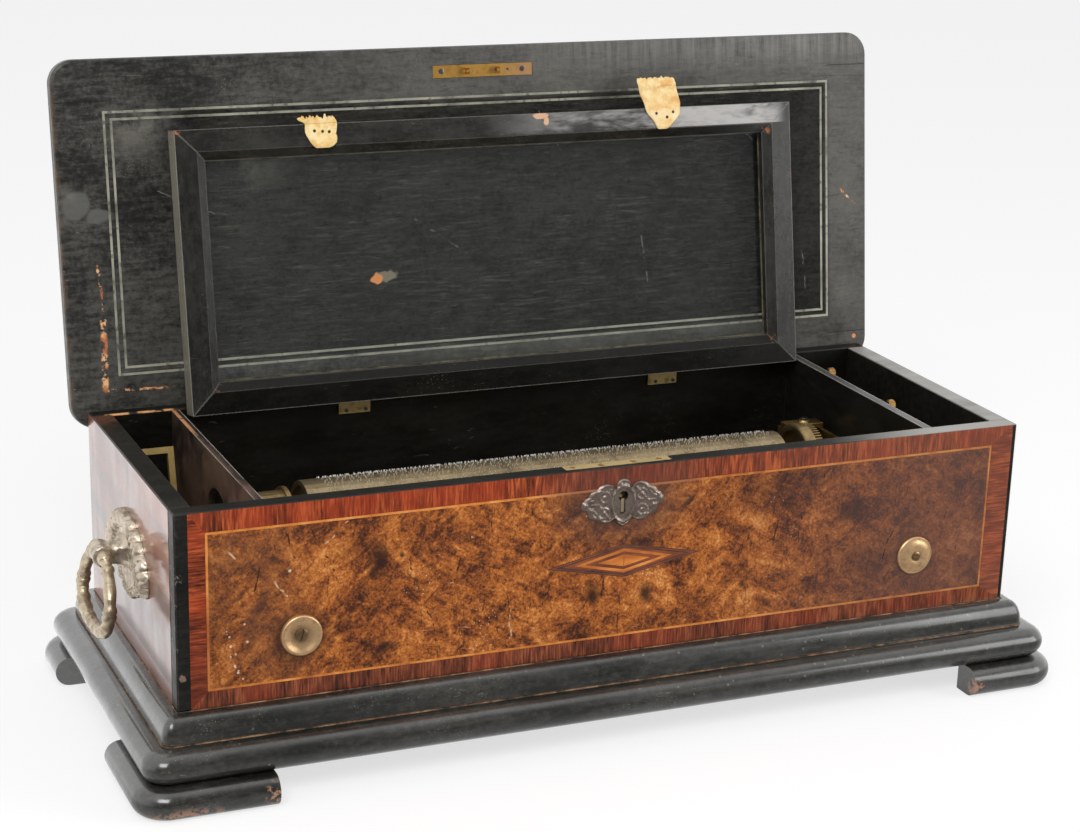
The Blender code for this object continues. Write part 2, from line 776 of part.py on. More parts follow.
def build_lid_hinge(mats, side, x, lid, back):
    """A butt hinge let into the rim and the lid, with the pin on the case's leaf."""
    start, end = x - lid_hinge_length / 2, x + lid_hinge_length / 2
    middle = lid_hinge_length * middle_knuckle_share / 2
    leaf_start = lid_pivot.y - lid_hinge_leaf_width
    leaf_end = lid_pivot.y - lid_knuckle_radius - running_gap
    high_z = case_height - seat_gap
    case_leaf = block(f"lid_hinge_{side}_case_leaf", (start, leaf_start, high_z - lid_hinge_leaf),
                      (end, leaf_end, high_z), mats["brass"])
    join_knuckle(case_leaf, lid_pivot, lid_knuckle_radius, x - middle, x + middle,
                 high_z - lid_hinge_leaf, high_z, "case")
    join(case_leaf, rod_mesh("X", lid_pivot, lid_hinge_pin_radius, start, end, small_steps))
    cut(back, block_mesh((start - seat_gap, leaf_start - seat_gap, high_z - lid_hinge_leaf - seat_gap),
                         (end + seat_gap, back_y + cut_overrun, case_height + cut_overrun)))
    low_z = lid_underside_z + seat_gap
    lid_leaf = block(f"lid_hinge_{side}_lid_leaf", (start, leaf_start, low_z),
                     (end, leaf_end, low_z + lid_hinge_leaf), mats["brass"], "lid_pivot")
    for low, high in ((start, x - middle - running_gap), (x + middle + running_gap, end)):
        join_knuckle(lid_leaf, lid_pivot, lid_knuckle_radius, low, high,
                     low_z, low_z + lid_hinge_leaf, "lid_pivot")
    bore = lid_hinge_pin_radius + running_gap
    drill(lid_leaf, "X", lid_pivot, bore, start, end, "lid_pivot", small_steps)
    clear = lid_knuckle_radius + running_gap
    cut(lid, rod_mesh("X", lid_pivot, clear, start - seat_gap, end + seat_gap), "lid_pivot")
    cut(lid, block_mesh((start - seat_gap, leaf_start - seat_gap, lid_underside_z - cut_overrun),
                        (end + seat_gap, lid_pivot.y, low_z + lid_hinge_leaf + seat_gap)), "lid_pivot")


def rail_section():
    """Glass rail section as (inset from the frame's outer edge, height), with its glazing step."""
    outer_top, outer_bottom = glass_top_z, glass_bottom_z
    step_top = glass_bottom_z + glass_bead_depth + glass_rebate_depth
    return [(0, outer_bottom), (0, outer_top), (glass_rail_width, outer_top),
            (glass_rail_width, step_top), (glass_rail_width + glass_rebate_width, step_top),
            (glass_rail_width + glass_rebate_width, glass_bottom_z + glass_bead_depth),
            (glass_rail_width, outer_bottom)]


def build_glass_lid(mats):
    centre = Vector(((glass_left_x + glass_right_x) / 2, (glass_front_y + glass_back_y) / 2, 0))
    half_x = (glass_right_x - glass_left_x) / 2
    half_y = (glass_back_y - glass_front_y) / 2
    section = rail_section()
    sides = (("glass_frame_front_rail", Vector((1, 0, 0)), Vector((0, -1, 0)), half_x, half_y),
             ("glass_frame_rear_rail", Vector((-1, 0, 0)), Vector((0, 1, 0)), half_x, half_y),
             ("glass_frame_left_stile", Vector((0, -1, 0)), Vector((-1, 0, 0)), half_y, half_x),
             ("glass_frame_right_stile", Vector((0, 1, 0)), Vector((1, 0, 0)), half_y, half_x))
    for name, run, out, half_run, half_out in sides:
        bm = bmesh.new()
        rings = []
        for end in (-1, 1):
            ring = []
            for inset, height in section:
                place = centre + out * (half_out - inset) + run * end * (half_run - inset - seat_gap / 2)
                ring.append(bm.verts.new((place.x, place.y, height)))
            rings.append(ring)
        skin(bm, rings)
        add_object(name, bm, mats["ebonised"], "glass_lid_pivot")
    inset = glass_rail_width + glass_edge_gap
    step_top = glass_bottom_z + glass_bead_depth + glass_rebate_depth
    block("glass_pane", (glass_left_x + inset, glass_front_y + inset, step_top + seat_gap),
          (glass_right_x - inset, glass_back_y - inset, step_top + seat_gap + glass_thickness),
          mats["glass"], "glass_lid_pivot")
    rear_rail = bpy.data.objects["glass_frame_rear_rail"]
    for side, x in (("left", glass_left_x + glass_hinge_left_inset),
                    ("right", glass_right_x - glass_hinge_right_inset)):
        build_glass_hinge(mats, side, x, rear_rail)
    build_tabs(mats)


def build_glass_hinge(mats, side, x, rear_rail):
    """A small butt hinge: one leaf on the back wall, one let into the rail's rear edge."""
    start, end = x - glass_hinge_length / 2, x + glass_hinge_length / 2
    middle = glass_hinge_length * middle_knuckle_share / 2
    wall_y = inner_back_y - seat_gap
    low_z = glass_pivot.z - glass_hinge_leaf_height
    high_z = glass_pivot.z - glass_knuckle_radius - running_gap
    knuckle = glass_knuckle_radius
    neck_low = high_z - glass_hinge_leaf
    wall_leaf = block(f"glass_hinge_{side}_case_leaf", (start, wall_y - glass_hinge_leaf, low_z),
                      (end, wall_y, high_z), mats["brass"])
    join(wall_leaf, block_mesh((x - middle + neck_inset, wall_y - glass_hinge_leaf + neck_inset, neck_low),
                               (x + middle - neck_inset, wall_y - neck_inset, glass_pivot.z)))
    join(wall_leaf, rod_mesh("X", glass_pivot, knuckle, x - middle, x + middle, knuckle_steps))
    join(wall_leaf, rod_mesh("X", glass_pivot, glass_hinge_pin_radius, start, end, small_steps))
    leaf_y = glass_back_y + seat_gap
    frame_leaf = block(f"glass_hinge_{side}_frame_leaf", (start, leaf_y - glass_hinge_leaf, low_z),
                       (end, leaf_y, high_z), mats["brass"], "glass_lid_pivot")
    for low, high in ((start, x - middle - running_gap), (x + middle + running_gap, end)):
        join(frame_leaf, rod_mesh("X", glass_pivot, knuckle, low, high, knuckle_steps), "glass_lid_pivot")
        neck = block_mesh((low + neck_inset, leaf_y - glass_hinge_leaf + neck_inset, neck_low),
                          (high - neck_inset, leaf_y - neck_inset, glass_pivot.z))
        join(frame_leaf, neck, "glass_lid_pivot")
    drill(frame_leaf, "X", glass_pivot, glass_hinge_pin_radius + running_gap / 2, start, end,
          "glass_lid_pivot", small_steps)
    cut(rear_rail, rod_mesh("X", glass_pivot, knuckle + running_gap, start - seat_gap, end + seat_gap),
        "glass_lid_pivot")
    recess = block_mesh((start - seat_gap, leaf_y - glass_hinge_leaf - seat_gap, low_z - seat_gap),
                        (end + seat_gap, glass_back_y + cut_overrun, glass_pivot.z))
    cut(rear_rail, recess, "glass_lid_pivot")


def build_tabs(mats):
    """Two leather tabs tacked under the front rail, which the lid is lifted by."""
    high_z = glass_bottom_z - seat_gap
    low_z = high_z - tab_thickness
    front = glass_front_y - tab_front_inset
    left_x = glass_left_x + tab_left_inset
    right_x = glass_right_x - tab_right_inset
    for side, x, width, reach in (("left", left_x, tab_left_width, tab_left_reach),
                                  ("right", right_x, tab_right_width, tab_right_reach)):
        block(f"glass_lid_tab_{side}", (x - width / 2, front, low_z),
              (x + width / 2, glass_front_y + reach, high_z),
              mats["leather"], "glass_lid_pivot", edge=tab_thickness * tab_edge_share)


def keyhole_outline(x, z, width, height):
    """A round bow over a narrower slot with a round foot."""
    bow = width / 2
    slot = bow * keyhole_slot_share
    meet = math.asin(slot / bow)
    top = z + height / 2 - bow
    outline = arc((x, top), bow, -math.pi / 2 + meet, math.pi * 3 / 2 - meet, small_steps)
    outline += arc((x, z - height / 2 + slot), slot, math.pi, 2 * math.pi, keyhole_foot_steps)
    return outline


def escutcheon_outline():
    """A scrolled plate: lobes at the top and bottom, pointed shoulders and round ends."""
    half_x, half_z = escutcheon_width / 2, escutcheon_height / 2
    return [(escutcheon_x + u * half_x, escutcheon_z + v * half_z)
            for u, v in four_ways(escutcheon_outline_shares)]


def keep_loop_places():
    return keep_plate_x - keep_loop_spacing / 2, keep_plate_x + keep_loop_spacing / 2


def build_lock(mats, front):
    """The lock let into the front wall, its selvedge on the rim and the plate over its keyhole."""
    selvedge_top = case_height - seat_gap
    selvedge_low = selvedge_top - selvedge_thickness
    plate_front = front_y + lock_rim_wood
    plate_back = plate_front + keep_plate_width
    pocket_front = plate_front + lock_case_inset
    lock_low, lock_high = keep_plate_x - lock_case_length / 2, keep_plate_x + lock_case_length / 2
    case_bottom = selvedge_low - lock_case_height
    lock = block("lock_case", (lock_low, pocket_front, case_bottom), (lock_high, plate_back, selvedge_top),
                 mats["brass"])
    plate_low, plate_high = keep_plate_x - keep_plate_length / 2, keep_plate_x + keep_plate_length / 2
    join(lock, block_mesh((plate_low, plate_front, selvedge_low), (plate_high, plate_back, selvedge_top)))
    cut(front, block_mesh((lock_low - seat_gap, pocket_front - seat_gap, case_bottom - seat_gap),
                          (lock_high + seat_gap, inner_front_y + cut_overrun, case_height + cut_overrun)))
    cut(front, block_mesh((plate_low - seat_gap, plate_front - seat_gap, selvedge_low - seat_gap),
                          (plate_high + seat_gap, inner_front_y + cut_overrun, case_height + cut_overrun)))
    slot_y = (plate_front + plate_back) / 2
    build_keep(mats, slot_y)
    build_bolt(mats, lock, slot_y)
    plate = prism("escutcheon", escutcheon_outline(), "Y", front_y - seat_gap - escutcheon_thickness,
                  front_y - seat_gap, mats["pewter"])
    hole = keyhole_outline(escutcheon_x, escutcheon_z, keyhole_width, keyhole_height)
    cut(plate, prism_mesh(hole, "Y", front_y - escutcheon_thickness - cut_overrun, front_y + cut_overrun))
    cut(front, prism_mesh(hole, "Y", front_y - cut_overrun, pocket_front))
    cut(lock, prism_mesh(hole, "Y", front_y, pocket_front + lock_keyway_depth))


def build_keep(mats, slot_y):
    """The keep plate let into the lid's underside, with the two loops the bolt passes into."""
    lid = bpy.data.objects["lid_panel"]
    low_z = lid_underside_z + seat_gap
    x0, x1 = keep_plate_x - keep_plate_length / 2, keep_plate_x + keep_plate_length / 2
    y0, y1 = slot_y - keep_plate_width / 2, slot_y + keep_plate_width / 2
    keep = block("lock_keep_plate", (x0, y0, low_z), (x1, y1, low_z + keep_plate_thickness), mats["brass"],
                 "lid_pivot")
    half_x, half_y = keep_loop_length / 2, keep_loop_width / 2
    low_loop = low_z - keep_loop_height
    for x in keep_loop_places():
        join(keep, block_mesh((x - half_x, slot_y - half_y, low_loop),
                              (x + half_x, slot_y + half_y, low_z + neck_inset)), "lid_pivot")
        cut(keep, block_mesh((x - cut_overrun, slot_y - half_y + keep_loop_leg, low_loop + keep_loop_leg),
                             (x + cut_overrun, slot_y + half_y - keep_loop_leg, low_z - keep_loop_leg)),
            "lid_pivot")
    recess = block_mesh((x0 - seat_gap, y0 - seat_gap, lid_underside_z - cut_overrun),
                        (x1 + seat_gap, y1 + seat_gap, low_z + keep_plate_thickness + seat_gap))
    cut(lid, recess, "lid_pivot")


def build_bolt(mats, lock, slot_y):
    """The bolt slides along the inside of the lock, and a finger on each post enters a keep loop."""
    loop_low = lid_underside_z + seat_gap - keep_loop_height
    finger_low = loop_low + keep_loop_leg + running_gap
    bar_high = loop_low - selvedge_slot_gap
    bar_low = bar_high - bolt_bar_height
    first, last = keep_loop_places()
    clear = keep_loop_length / 2 + selvedge_slot_gap
    post_left = clear + bolt_finger_length + bolt_post_length
    half_y = bolt_width / 2
    x0, x1 = first - post_left, last - clear
    bolt = block("lock_bolt", (x0, slot_y - half_y, bar_low), (x1, slot_y + half_y, bar_high),
                 mats["steel"], "bolt_slide")
    cavity_high = finger_low + bolt_finger_height + running_gap
    cut(lock, block_mesh((x0 - running_gap, slot_y - half_y - running_gap, bar_low - running_gap),
                         (last + clear + bolt_throw, slot_y + half_y + running_gap, cavity_high)))
    for x in keep_loop_places():
        post = x - post_left
        join(bolt, block_mesh((post, slot_y - half_y, bar_high - neck_inset),
                              (post + bolt_post_length, slot_y + half_y, finger_low + bolt_finger_height)),
             "bolt_slide")
        join(bolt, block_mesh((post + neck_inset, slot_y - half_y, finger_low),
                              (x - clear, slot_y + half_y, finger_low + bolt_finger_height)), "bolt_slide")
        slot_y_reach = keep_loop_width / 2 + selvedge_slot_gap
        cut(lock, block_mesh((x - clear, slot_y - slot_y_reach, bar_high - running_gap),
                             (x + clear, slot_y + slot_y_reach, case_height + cut_overrun)))


def build_washers(mats, front):
    """Dished washers under the two screws that hold the bedplate through the case front."""
    face = front_y - seat_gap
    for side, x in (("left", washer_left_x), ("right", washer_right_x)):
        centre = Vector((x, 0, screw_z))
        bore = screw_shank_radius + running_gap
        seat = screw_head_radius + running_gap
        drill(front, "Y", centre, bore, front_y, inner_front_y, steps=small_steps)
        high = face - washer_thickness
        ledge = face - washer_thickness * washer_seat_share
        profile = [(bore, face), (washer_radius, face),
                   (washer_radius * washer_rim_share, face - washer_thickness * washer_rim_rise_share),
                   (washer_radius * washer_crown_share, high),
                   (seat + washer_thickness * washer_crown_inset_share, high), (seat, ledge), (bore, ledge)]
        turned(f"bedplate_washer_{side}", profile, "Y", centre, fine_steps, mats["brass"], closed=True)


def build_handle(mats, side, sign):
    """A cast backplate with a central boss, and the bail that swings in it."""
    points = four_ways(handle_outline_shares)
    wall = sign * (half_width + seat_gap)
    bm = bmesh.new()
    rings = []
    half_y, half_z = handle_plate_width / 2, handle_plate_height / 2
    for scale, depth_share in handle_relief_shares:
        x = wall + sign * handle_plate_thickness * depth_share
        rings.append([bm.verts.new((x, u * half_y * scale, handle_plate_z + v * half_z * scale))
                      for u, v in points])
    skin(bm, rings)
    plate = add_object(f"handle_{side}_backplate", bm, mats["pale_brass"])
    pivot_x = sign * (half_width + bail_pivot_out)
    axis = Vector((pivot_x, 0, bail_pivot_z))
    half_boss = handle_boss_length / 2
    low_x, high_x = sorted((wall + sign * seat_gap, pivot_x))
    half_neck = handle_boss_radius * handle_boss_neck_share
    join(plate, block_mesh((low_x, -half_boss, bail_pivot_z - half_neck),
                           (high_x, half_boss, bail_pivot_z + half_neck)))
    join(plate, rod_mesh("Y", axis, handle_boss_radius, -half_boss, half_boss))
    drill(plate, "Y", axis, bail_pin_radius + running_gap, -half_boss, half_boss, steps=small_steps)
    build_bail(mats, side, axis, half_boss)


def bail_path(axis, half_boss, side):
    """One half of the bail's centre line as (y, z), from the boss down to the bottom."""
    start_y = half_boss + running_gap + bail_tube_radius
    spread = bail_half_width - start_y
    half = []
    for u, v in bail_route_shares:
        y = start_y + u * spread if v > -bail_bottom_share else u * bail_half_width
        half.append((side * y, axis.z + v * bail_drop))
    return half


def smooth_path(points, count):
    """Points evenly numbered along a smooth curve through the given ones."""
    result = []
    last = len(points) - 1
    for k in range(count + 1):
        t = k / count * last
        i = min(int(t), last - 1)
        f = t - i
        p0, p1 = points[max(i - 1, 0)], points[i]
        p2, p3 = points[i + 1], points[min(i + 2, last)]
        result.append(tuple(0.5 * (2 * b + (c - a) * f + (2 * a - 5 * b + 4 * c - d) * f * f
                                   + (3 * b - a - 3 * c + d) * f ** 3)
                            for a, b, c, d in zip(p0, p1, p2, p3)))
    return result


def tube_mesh(points, radii, sides):
    """A closed tube round a path that lies in a plane across X."""
    bm = bmesh.new()
    rings = []
    for i, point in enumerate(points):
        ahead = Vector(points[min(i + 1, len(points) - 1)]) - Vector(points[max(i - 1, 0)])
        tangent = ahead.normalized()
        across = Vector((1, 0, 0))
        up = tangent.cross(across).normalized()
        rings.append([bm.verts.new(Vector(point) + (across * math.cos(2 * math.pi * k / sides)
                                                    + up * math.sin(2 * math.pi * k / sides)) * radii[i])
                      for k in range(sides)])
    skin(bm, rings)
    return bm


def build_bail(mats, side, axis, half_boss):
    right = bail_path(axis, half_boss, 1)
    left = bail_path(axis, half_boss, -1)
    route = left[:-1] + list(reversed(right))
    path = [(axis.x, y, z) for y, z in smooth_path(route, bail_path_steps)]
    radii = [bail_joint_radius if i in bail_knuckle_steps else bail_tube_radius
             for i in range(bail_path_steps + 1)]
    bail = add_object(f"handle_{side}_bail", tube_mesh(path, radii, bail_sides), mats["pale_brass"],
                      f"bail_{side}_pivot")
    reach = half_boss + running_gap + bail_tube_radius
    join(bail, rod_mesh("Y", axis, bail_pin_radius, -reach, reach, small_steps), f"bail_{side}_pivot")
    for low, high in ((-reach - bail_tube_radius, -half_boss - running_gap),
                      (half_boss + running_gap, reach + bail_tube_radius)):
        join(bail, rod_mesh("Y", axis, bail_joint_radius, low, high, small_steps), f"bail_{side}_pivot")


def build_bedplate(mats):
    plate = block("bedplate", (bedplate_left_x, bedplate_front_y, bedplate_bottom_z),
                  (bedplate_right_x, bedplate_back_y, bedplate_top_z), mats["iron"], edge=wood_arris)
    foot_z = seat_gap + bottom_board + seat_gap
    boss_front = inner_front_y + seat_gap
    for x in (washer_left_x, washer_right_x):
        centre = Vector((x, 0, screw_z))
        join(plate, rod_mesh("Y", centre, bedplate_boss_radius, boss_front,
                             bedplate_front_y + bedplate_boss_reach))
        cut(plate, rod_mesh("Y", centre, screw_shank_radius + running_gap, boss_front - cut_overrun,
                            bedplate_front_y + running_gap, small_steps))
    for x in (bedplate_left_x + bedplate_foot_inset, bedplate_right_x - bedplate_foot_inset):
        for y in (bedplate_front_y + bedplate_foot_inset, bedplate_back_y - bedplate_foot_inset):
            join(plate, rod_mesh("Z", Vector((x, y, 0)), bedplate_foot_radius, foot_z,
                                 bedplate_bottom_z + seat_gap))


def build_comb(mats):
    """The comb: long bass teeth to short treble teeth, cut from one plate."""
    back_line = tip_y - comb_bass_length - comb_back_length
    tooth = comb_pitch * comb_tooth_share / 2
    tip = comb_pitch * comb_tip_share / 2
    outline = [(comb_right_x, back_line), (comb_left_x, back_line)]
    for i in range(comb_teeth):
        middle = comb_left_x + (i + 0.5) * comb_pitch
        length = comb_bass_length + (comb_treble_length - comb_bass_length) * i / (comb_teeth - 1)
        root = tip_y - length
        outline += [(middle - tooth, root), (middle - tip, tip_y),
                    (middle + tip, tip_y), (middle + tooth, root)]
    comb_low = cylinder_z - comb_thickness / 2
    prism("music_comb", outline, "Z", comb_low, comb_low + comb_thickness, mats["steel"])
    base_top = comb_low - seat_gap
    foot_back = back_line + comb_base_foot
    heel = bedplate_seat_z + comb_base_foot_height
    base = [(back_line, bedplate_seat_z), (foot_back, bedplate_seat_z), (foot_back, heel),
            (back_line + comb_base_thickness, heel + comb_base_foot_height),
            (back_line + comb_base_thickness * comb_base_top_share, base_top), (back_line, base_top)]
    prism("comb_base", base, "X", comb_left_x, comb_right_x, mats["brass"])


def bridge_outline(axis, width, head, base_z, steps):
    """A bearing bridge: wide foot, tapering to a round head about the axis."""
    foot = width / 2
    flare = (axis.z - base_z) * bridge_flare_share
    tangent = math.asin(min(head / (axis.z - base_z), 1)) * bridge_taper_share
    outline = [(axis.y - foot, base_z), (axis.y + foot, base_z), (axis.y + foot, base_z + flare)]
    outline += arc((axis.y, axis.z), head, -tangent, math.pi + tangent, steps)
    outline += [(axis.y - foot, base_z + flare)]
    return outline


def build_bridges(mats):
    outline = bridge_outline(cylinder_axis, bridge_width, bridge_head_radius, bedplate_seat_z, bridge_steps)
    left_end = cylinder_left_x - bridge_gap
    right_start = great_wheel_left_x + great_wheel_thickness + bridge_gap
    for name, start, end in (("cylinder_bridge_left", left_end - bridge_thickness, left_end),
                             ("cylinder_bridge_right", right_start, right_start + bridge_thickness)):
        bridge = prism(name, outline, "X", start, end, mats["brass"])
        drill(bridge, "X", cylinder_axis, arbor_radius + running_gap, start, end)
    return left_end - bridge_thickness, right_start + bridge_thickness


def build_cylinder(mats, left_bridge_x, right_bridge_x):
    bore = arbor_radius + running_gap
    left, right = cylinder_left_x, cylinder_right_x
    rim = cylinder_radius - cylinder_rim_width
    left_face = left + cylinder_end_recess
    right_face = right - cylinder_end_recess
    profile = [(bore, left_face), (rim, left_face), (rim, left), (cylinder_radius, left),
               (cylinder_radius, right), (rim, right), (rim, right_face), (bore, right_face)]
    turned("music_cylinder", profile, "X", cylinder_axis, cylinder_steps, mats["brass"], "cylinder_slide",
           closed=True)
    build_great_wheel(mats, left_bridge_x, right_bridge_x)


def build_great_wheel(mats, left_bridge_x, right_bridge_x):
    """The dished wheel on the cylinder's arbor: a smooth drum on the left, its teeth on the right."""
    wheel_left = great_wheel_left_x
    wheel_right = wheel_left + great_wheel_thickness
    teeth_left = wheel_right - great_wheel_tooth_width
    wheel = prism("cylinder_great_wheel", gear_outline(cylinder_axis, great_wheel_teeth, wheel_module), "X",
                  teeth_left, wheel_right, mats["brass"], "cylinder_axle")
    tip = wheel_module * (great_wheel_teeth / 2 + gear_addendum_share)
    flange = tip + great_wheel_flange_proud
    turn = great_wheel_flange_round
    edge = arc((wheel_left + turn, flange - turn), turn, math.pi, math.pi / 2, great_wheel_round_steps)
    profile = [(0, wheel_left)] + [(radius, place) for place, radius in edge]
    profile += [(flange, teeth_left + seat_gap), (0, teeth_left + seat_gap)]
    join(wheel, turned_mesh(profile, "X", cylinder_axis, great_wheel_flange_steps), "cylinder_axle")
    inner = wheel_module * great_wheel_teeth / 2 - great_wheel_rim
    hub = arbor_radius * 2
    for low, high in ((wheel_left - cut_overrun, wheel_left + great_wheel_recess),
                      (wheel_right - great_wheel_recess, wheel_right + cut_overrun)):
        ring = turned_mesh([(hub, low), (inner, low), (inner, high), (hub, high)], "X", cylinder_axis,
                           fine_steps, closed=True)
        cut(wheel, ring, "cylinder_axle")
    join(wheel, rod_mesh("X", cylinder_axis, arbor_radius, left_bridge_x, right_bridge_x), "cylinder_axle")


def build_barrel(mats, left_bridge_x):
    """Spring barrel in line with the cylinder, and the wheel that winds its arbor."""
    right = left_bridge_x - barrel_clearance
    left = right - barrel_length
    bore = arbor_radius + running_gap
    hub = arbor_radius * 2
    profile = [(bore, left), (barrel_flange_radius, left), (barrel_flange_radius, left + barrel_flange),
               (barrel_radius, left + barrel_flange), (barrel_radius, right - barrel_flange),
               (barrel_flange_radius, right - barrel_flange), (barrel_flange_radius, right), (bore, right)]
    turned("spring_barrel", profile, "X", cylinder_axis, fine_steps, mats["brass"], "barrel_axle",
           closed=True)
    plate_left = bedplate_left_x
    plate_right = plate_left + end_plate_thickness
    wheel_right = plate_left - barrel_clearance
    wheel_left = wheel_right - winding_wheel_thickness
    wheel = prism("winding_wheel", gear_outline(cylinder_axis, winding_wheel_teeth, winding_module), "X",
                  wheel_left, wheel_right, mats["brass"], "barrel_arbor_axle")
    join(wheel, rod_mesh("X", cylinder_axis, arbor_radius, wheel_left - barrel_clearance,
                         right - barrel_clearance), "barrel_arbor_axle")
    join(wheel, rod_mesh("X", cylinder_axis, hub, wheel_left - barrel_clearance,
                         wheel_left + barrel_clearance), "barrel_arbor_axle")
    return plate_left, plate_right, wheel_left, wheel_right


def build_winding(mats, plate_left, plate_right, wheel_left, wheel_right):
    margin = bridge_head_radius
    y0 = cylinder_axis.y - margin
    y1 = winding_axis.y + margin
    top = cylinder_axis.z + margin
    shoulder = winding_axis.z + margin
    outline = [(y0, bedplate_seat_z), (y1, bedplate_seat_z), (y1, shoulder),
               (cylinder_axis.y + margin, cylinder_axis.z)]
    outline += arc((cylinder_axis.y, cylinder_axis.z), margin, 0, math.pi, bridge_steps)[1:]
    plate = prism("winding_end_plate", outline, "X", plate_left, plate_right, mats["brass"])
    drill(plate, "X", cylinder_axis, arbor_radius + running_gap, plate_left, plate_right)
    drill(plate, "X", winding_axis, winding_arbor_radius + running_gap, plate_left, plate_right)
    phase = meshing_phase(winding_wheel_teeth, winding_pinion_teeth, winding_direction)
    teeth = gear_outline(winding_axis, winding_pinion_teeth, winding_module, phase)
    pinion = prism("winding_pinion", teeth, "X", wheel_left, wheel_right, mats["steel"], "winding_axle")
    join(pinion, rod_mesh("X", winding_axis, winding_arbor_radius, lever_loop_left_x,
                          plate_right + running_gap), "winding_axle")
    hub_right = lever_loop_left_x + lever_loop_width
    ratchet_left = hub_right + barrel_clearance
    ratchet_right = ratchet_left + ratchet_thickness
    teeth = ratchet_outline(winding_axis, ratchet_teeth, ratchet_radius, ratchet_tooth_height)
    join(pinion, prism_mesh(teeth, "X", ratchet_left, ratchet_right), "winding_axle")
    build_click(mats, ratchet_left, ratchet_right)
    build_winding_lever(mats, hub_right)


def click_place():
    """Where the click turns: behind and above the ratchet."""
    return Vector((0, winding_axis.y + click_length, winding_axis.z + ratchet_radius + click_width / 2))


def build_click(mats, ratchet_left, ratchet_right):
    """The click lies against the ratchet's teeth and turns on its stud in the partition."""
    place = click_place()
    nose = Vector((0, winding_axis.y, winding_axis.z + ratchet_radius + running_gap))
    half = click_width / 2
    outline = [(place.y + half, place.z - half), (place.y + half, place.z + half),
               (place.y - half, place.z + half), (nose.y, nose.z + click_width * click_nose_share),
               (nose.y, nose.z), (nose.y + half, nose.z), (place.y - half, place.z - half)]
    left = ratchet_right - click_thickness
    click = prism("ratchet_click", outline, "X", left, ratchet_right, mats["steel"], "click_pivot")
    join(click, rod_mesh("X", place, click_pivot_radius, left + click_thickness / 2,
                         left_partition_right_x - running_gap, small_steps), "click_pivot")
    drill(bpy.data.objects["left_partition"], "X", place, click_pivot_radius + running_gap,
          left_partition_left_x, left_partition_right_x, steps=small_steps)


def build_winding_lever(mats, hub_right):
    """A rectangular brass loop on a hub, pulled forward to wind the spring."""
    axis = winding_axis
    lean = math.atan2(lever_tip_y - axis.y, lever_tip_z - axis.z)
    reach = math.hypot(lever_tip_y - axis.y, lever_tip_z - axis.z)
    x0, x1 = lever_loop_left_x, hub_right
    half = lever_bar / 2
    outer = [(x0, axis.z), (x1, axis.z), (x1, axis.z + reach), (x0, axis.z + reach)]
    bm = prism_mesh(outer, "Y", axis.y - half, axis.y + half)
    tilt = Matrix.Rotation(-lean, 4, 'X')
    about = Matrix.Translation(axis) @ tilt @ Matrix.Translation(-axis)
    bmesh.ops.transform(bm, matrix=about, verts=bm.verts)
    lever = add_object("winding_lever", bm, mats["brass"], "winding_lever_pivot")
    join(lever, rod_mesh("X", axis, lever_hub_radius, x0, x1), "winding_lever_pivot")
    low_z, high_z = axis.z + reach - lever_loop_height, axis.z + reach - lever_bar
    window = [(x0 + lever_bar, low_z), (x1 - lever_bar, low_z),
              (x1 - lever_bar, high_z), (x0 + lever_bar, high_z)]
    opening = prism_mesh(window, "Y", axis.y - half - cut_overrun, axis.y + half + cut_overrun)
    bmesh.ops.transform(opening, matrix=about, verts=opening.verts)
    cut(lever, opening, "winding_lever_pivot")
    drill(lever, "X", axis, winding_arbor_radius + running_gap, x0, x1, "winding_lever_pivot")


def build_governor_frame(mats, base_top, right, cock_low):
    """The frame that carries the train, and the cock with the endless screw's upper bearing."""
    left, top = governor_left_x, governor_top_z
    outline = [(left, bedplate_seat_z), (right, bedplate_seat_z), (right, top),
               (governor_inner_right_x, top), (governor_inner_right_x, base_top),
               (governor_inner_left_x, base_top), (governor_inner_left_x, top), (left, top)]
    frame = prism("governor_frame", outline, "Y", governor_front_y, governor_back_y, mats["brass"])
    bore = governor_arbor_radius + running_gap
    for axis in (first_axis, second_axis):
        drill(frame, "X", axis, bore, left, right, steps=small_steps)
    drill(frame, "Z", worm_axis, bore, bedplate_seat_z, base_top, steps=small_steps)
    half = governor_cock_width / 2
    dome = cock_low + governor_cock_height
    cock = prism("governor_cock", [(left, worm_axis.y - half), (right, worm_axis.y - half),
                                   (right, worm_axis.y + half), (left, worm_axis.y + half)],
                 "Z", cock_low, dome, mats["brass"], edge=seat_gap)
    foot = half * governor_dome_foot_share
    shoulder = half * governor_dome_shoulder_share
    join(cock, turned_mesh([(0, dome - seat_gap), (foot, dome - seat_gap),
                            (shoulder, dome + governor_cock_dome * governor_dome_rise_share),
                            (0, dome + governor_cock_dome)], "Z", worm_axis, round_steps))
    cut(cock, rod_mesh("Z", worm_axis, bore, cock_low - cut_overrun, cock_low + governor_cock_height / 2,
                       small_steps))


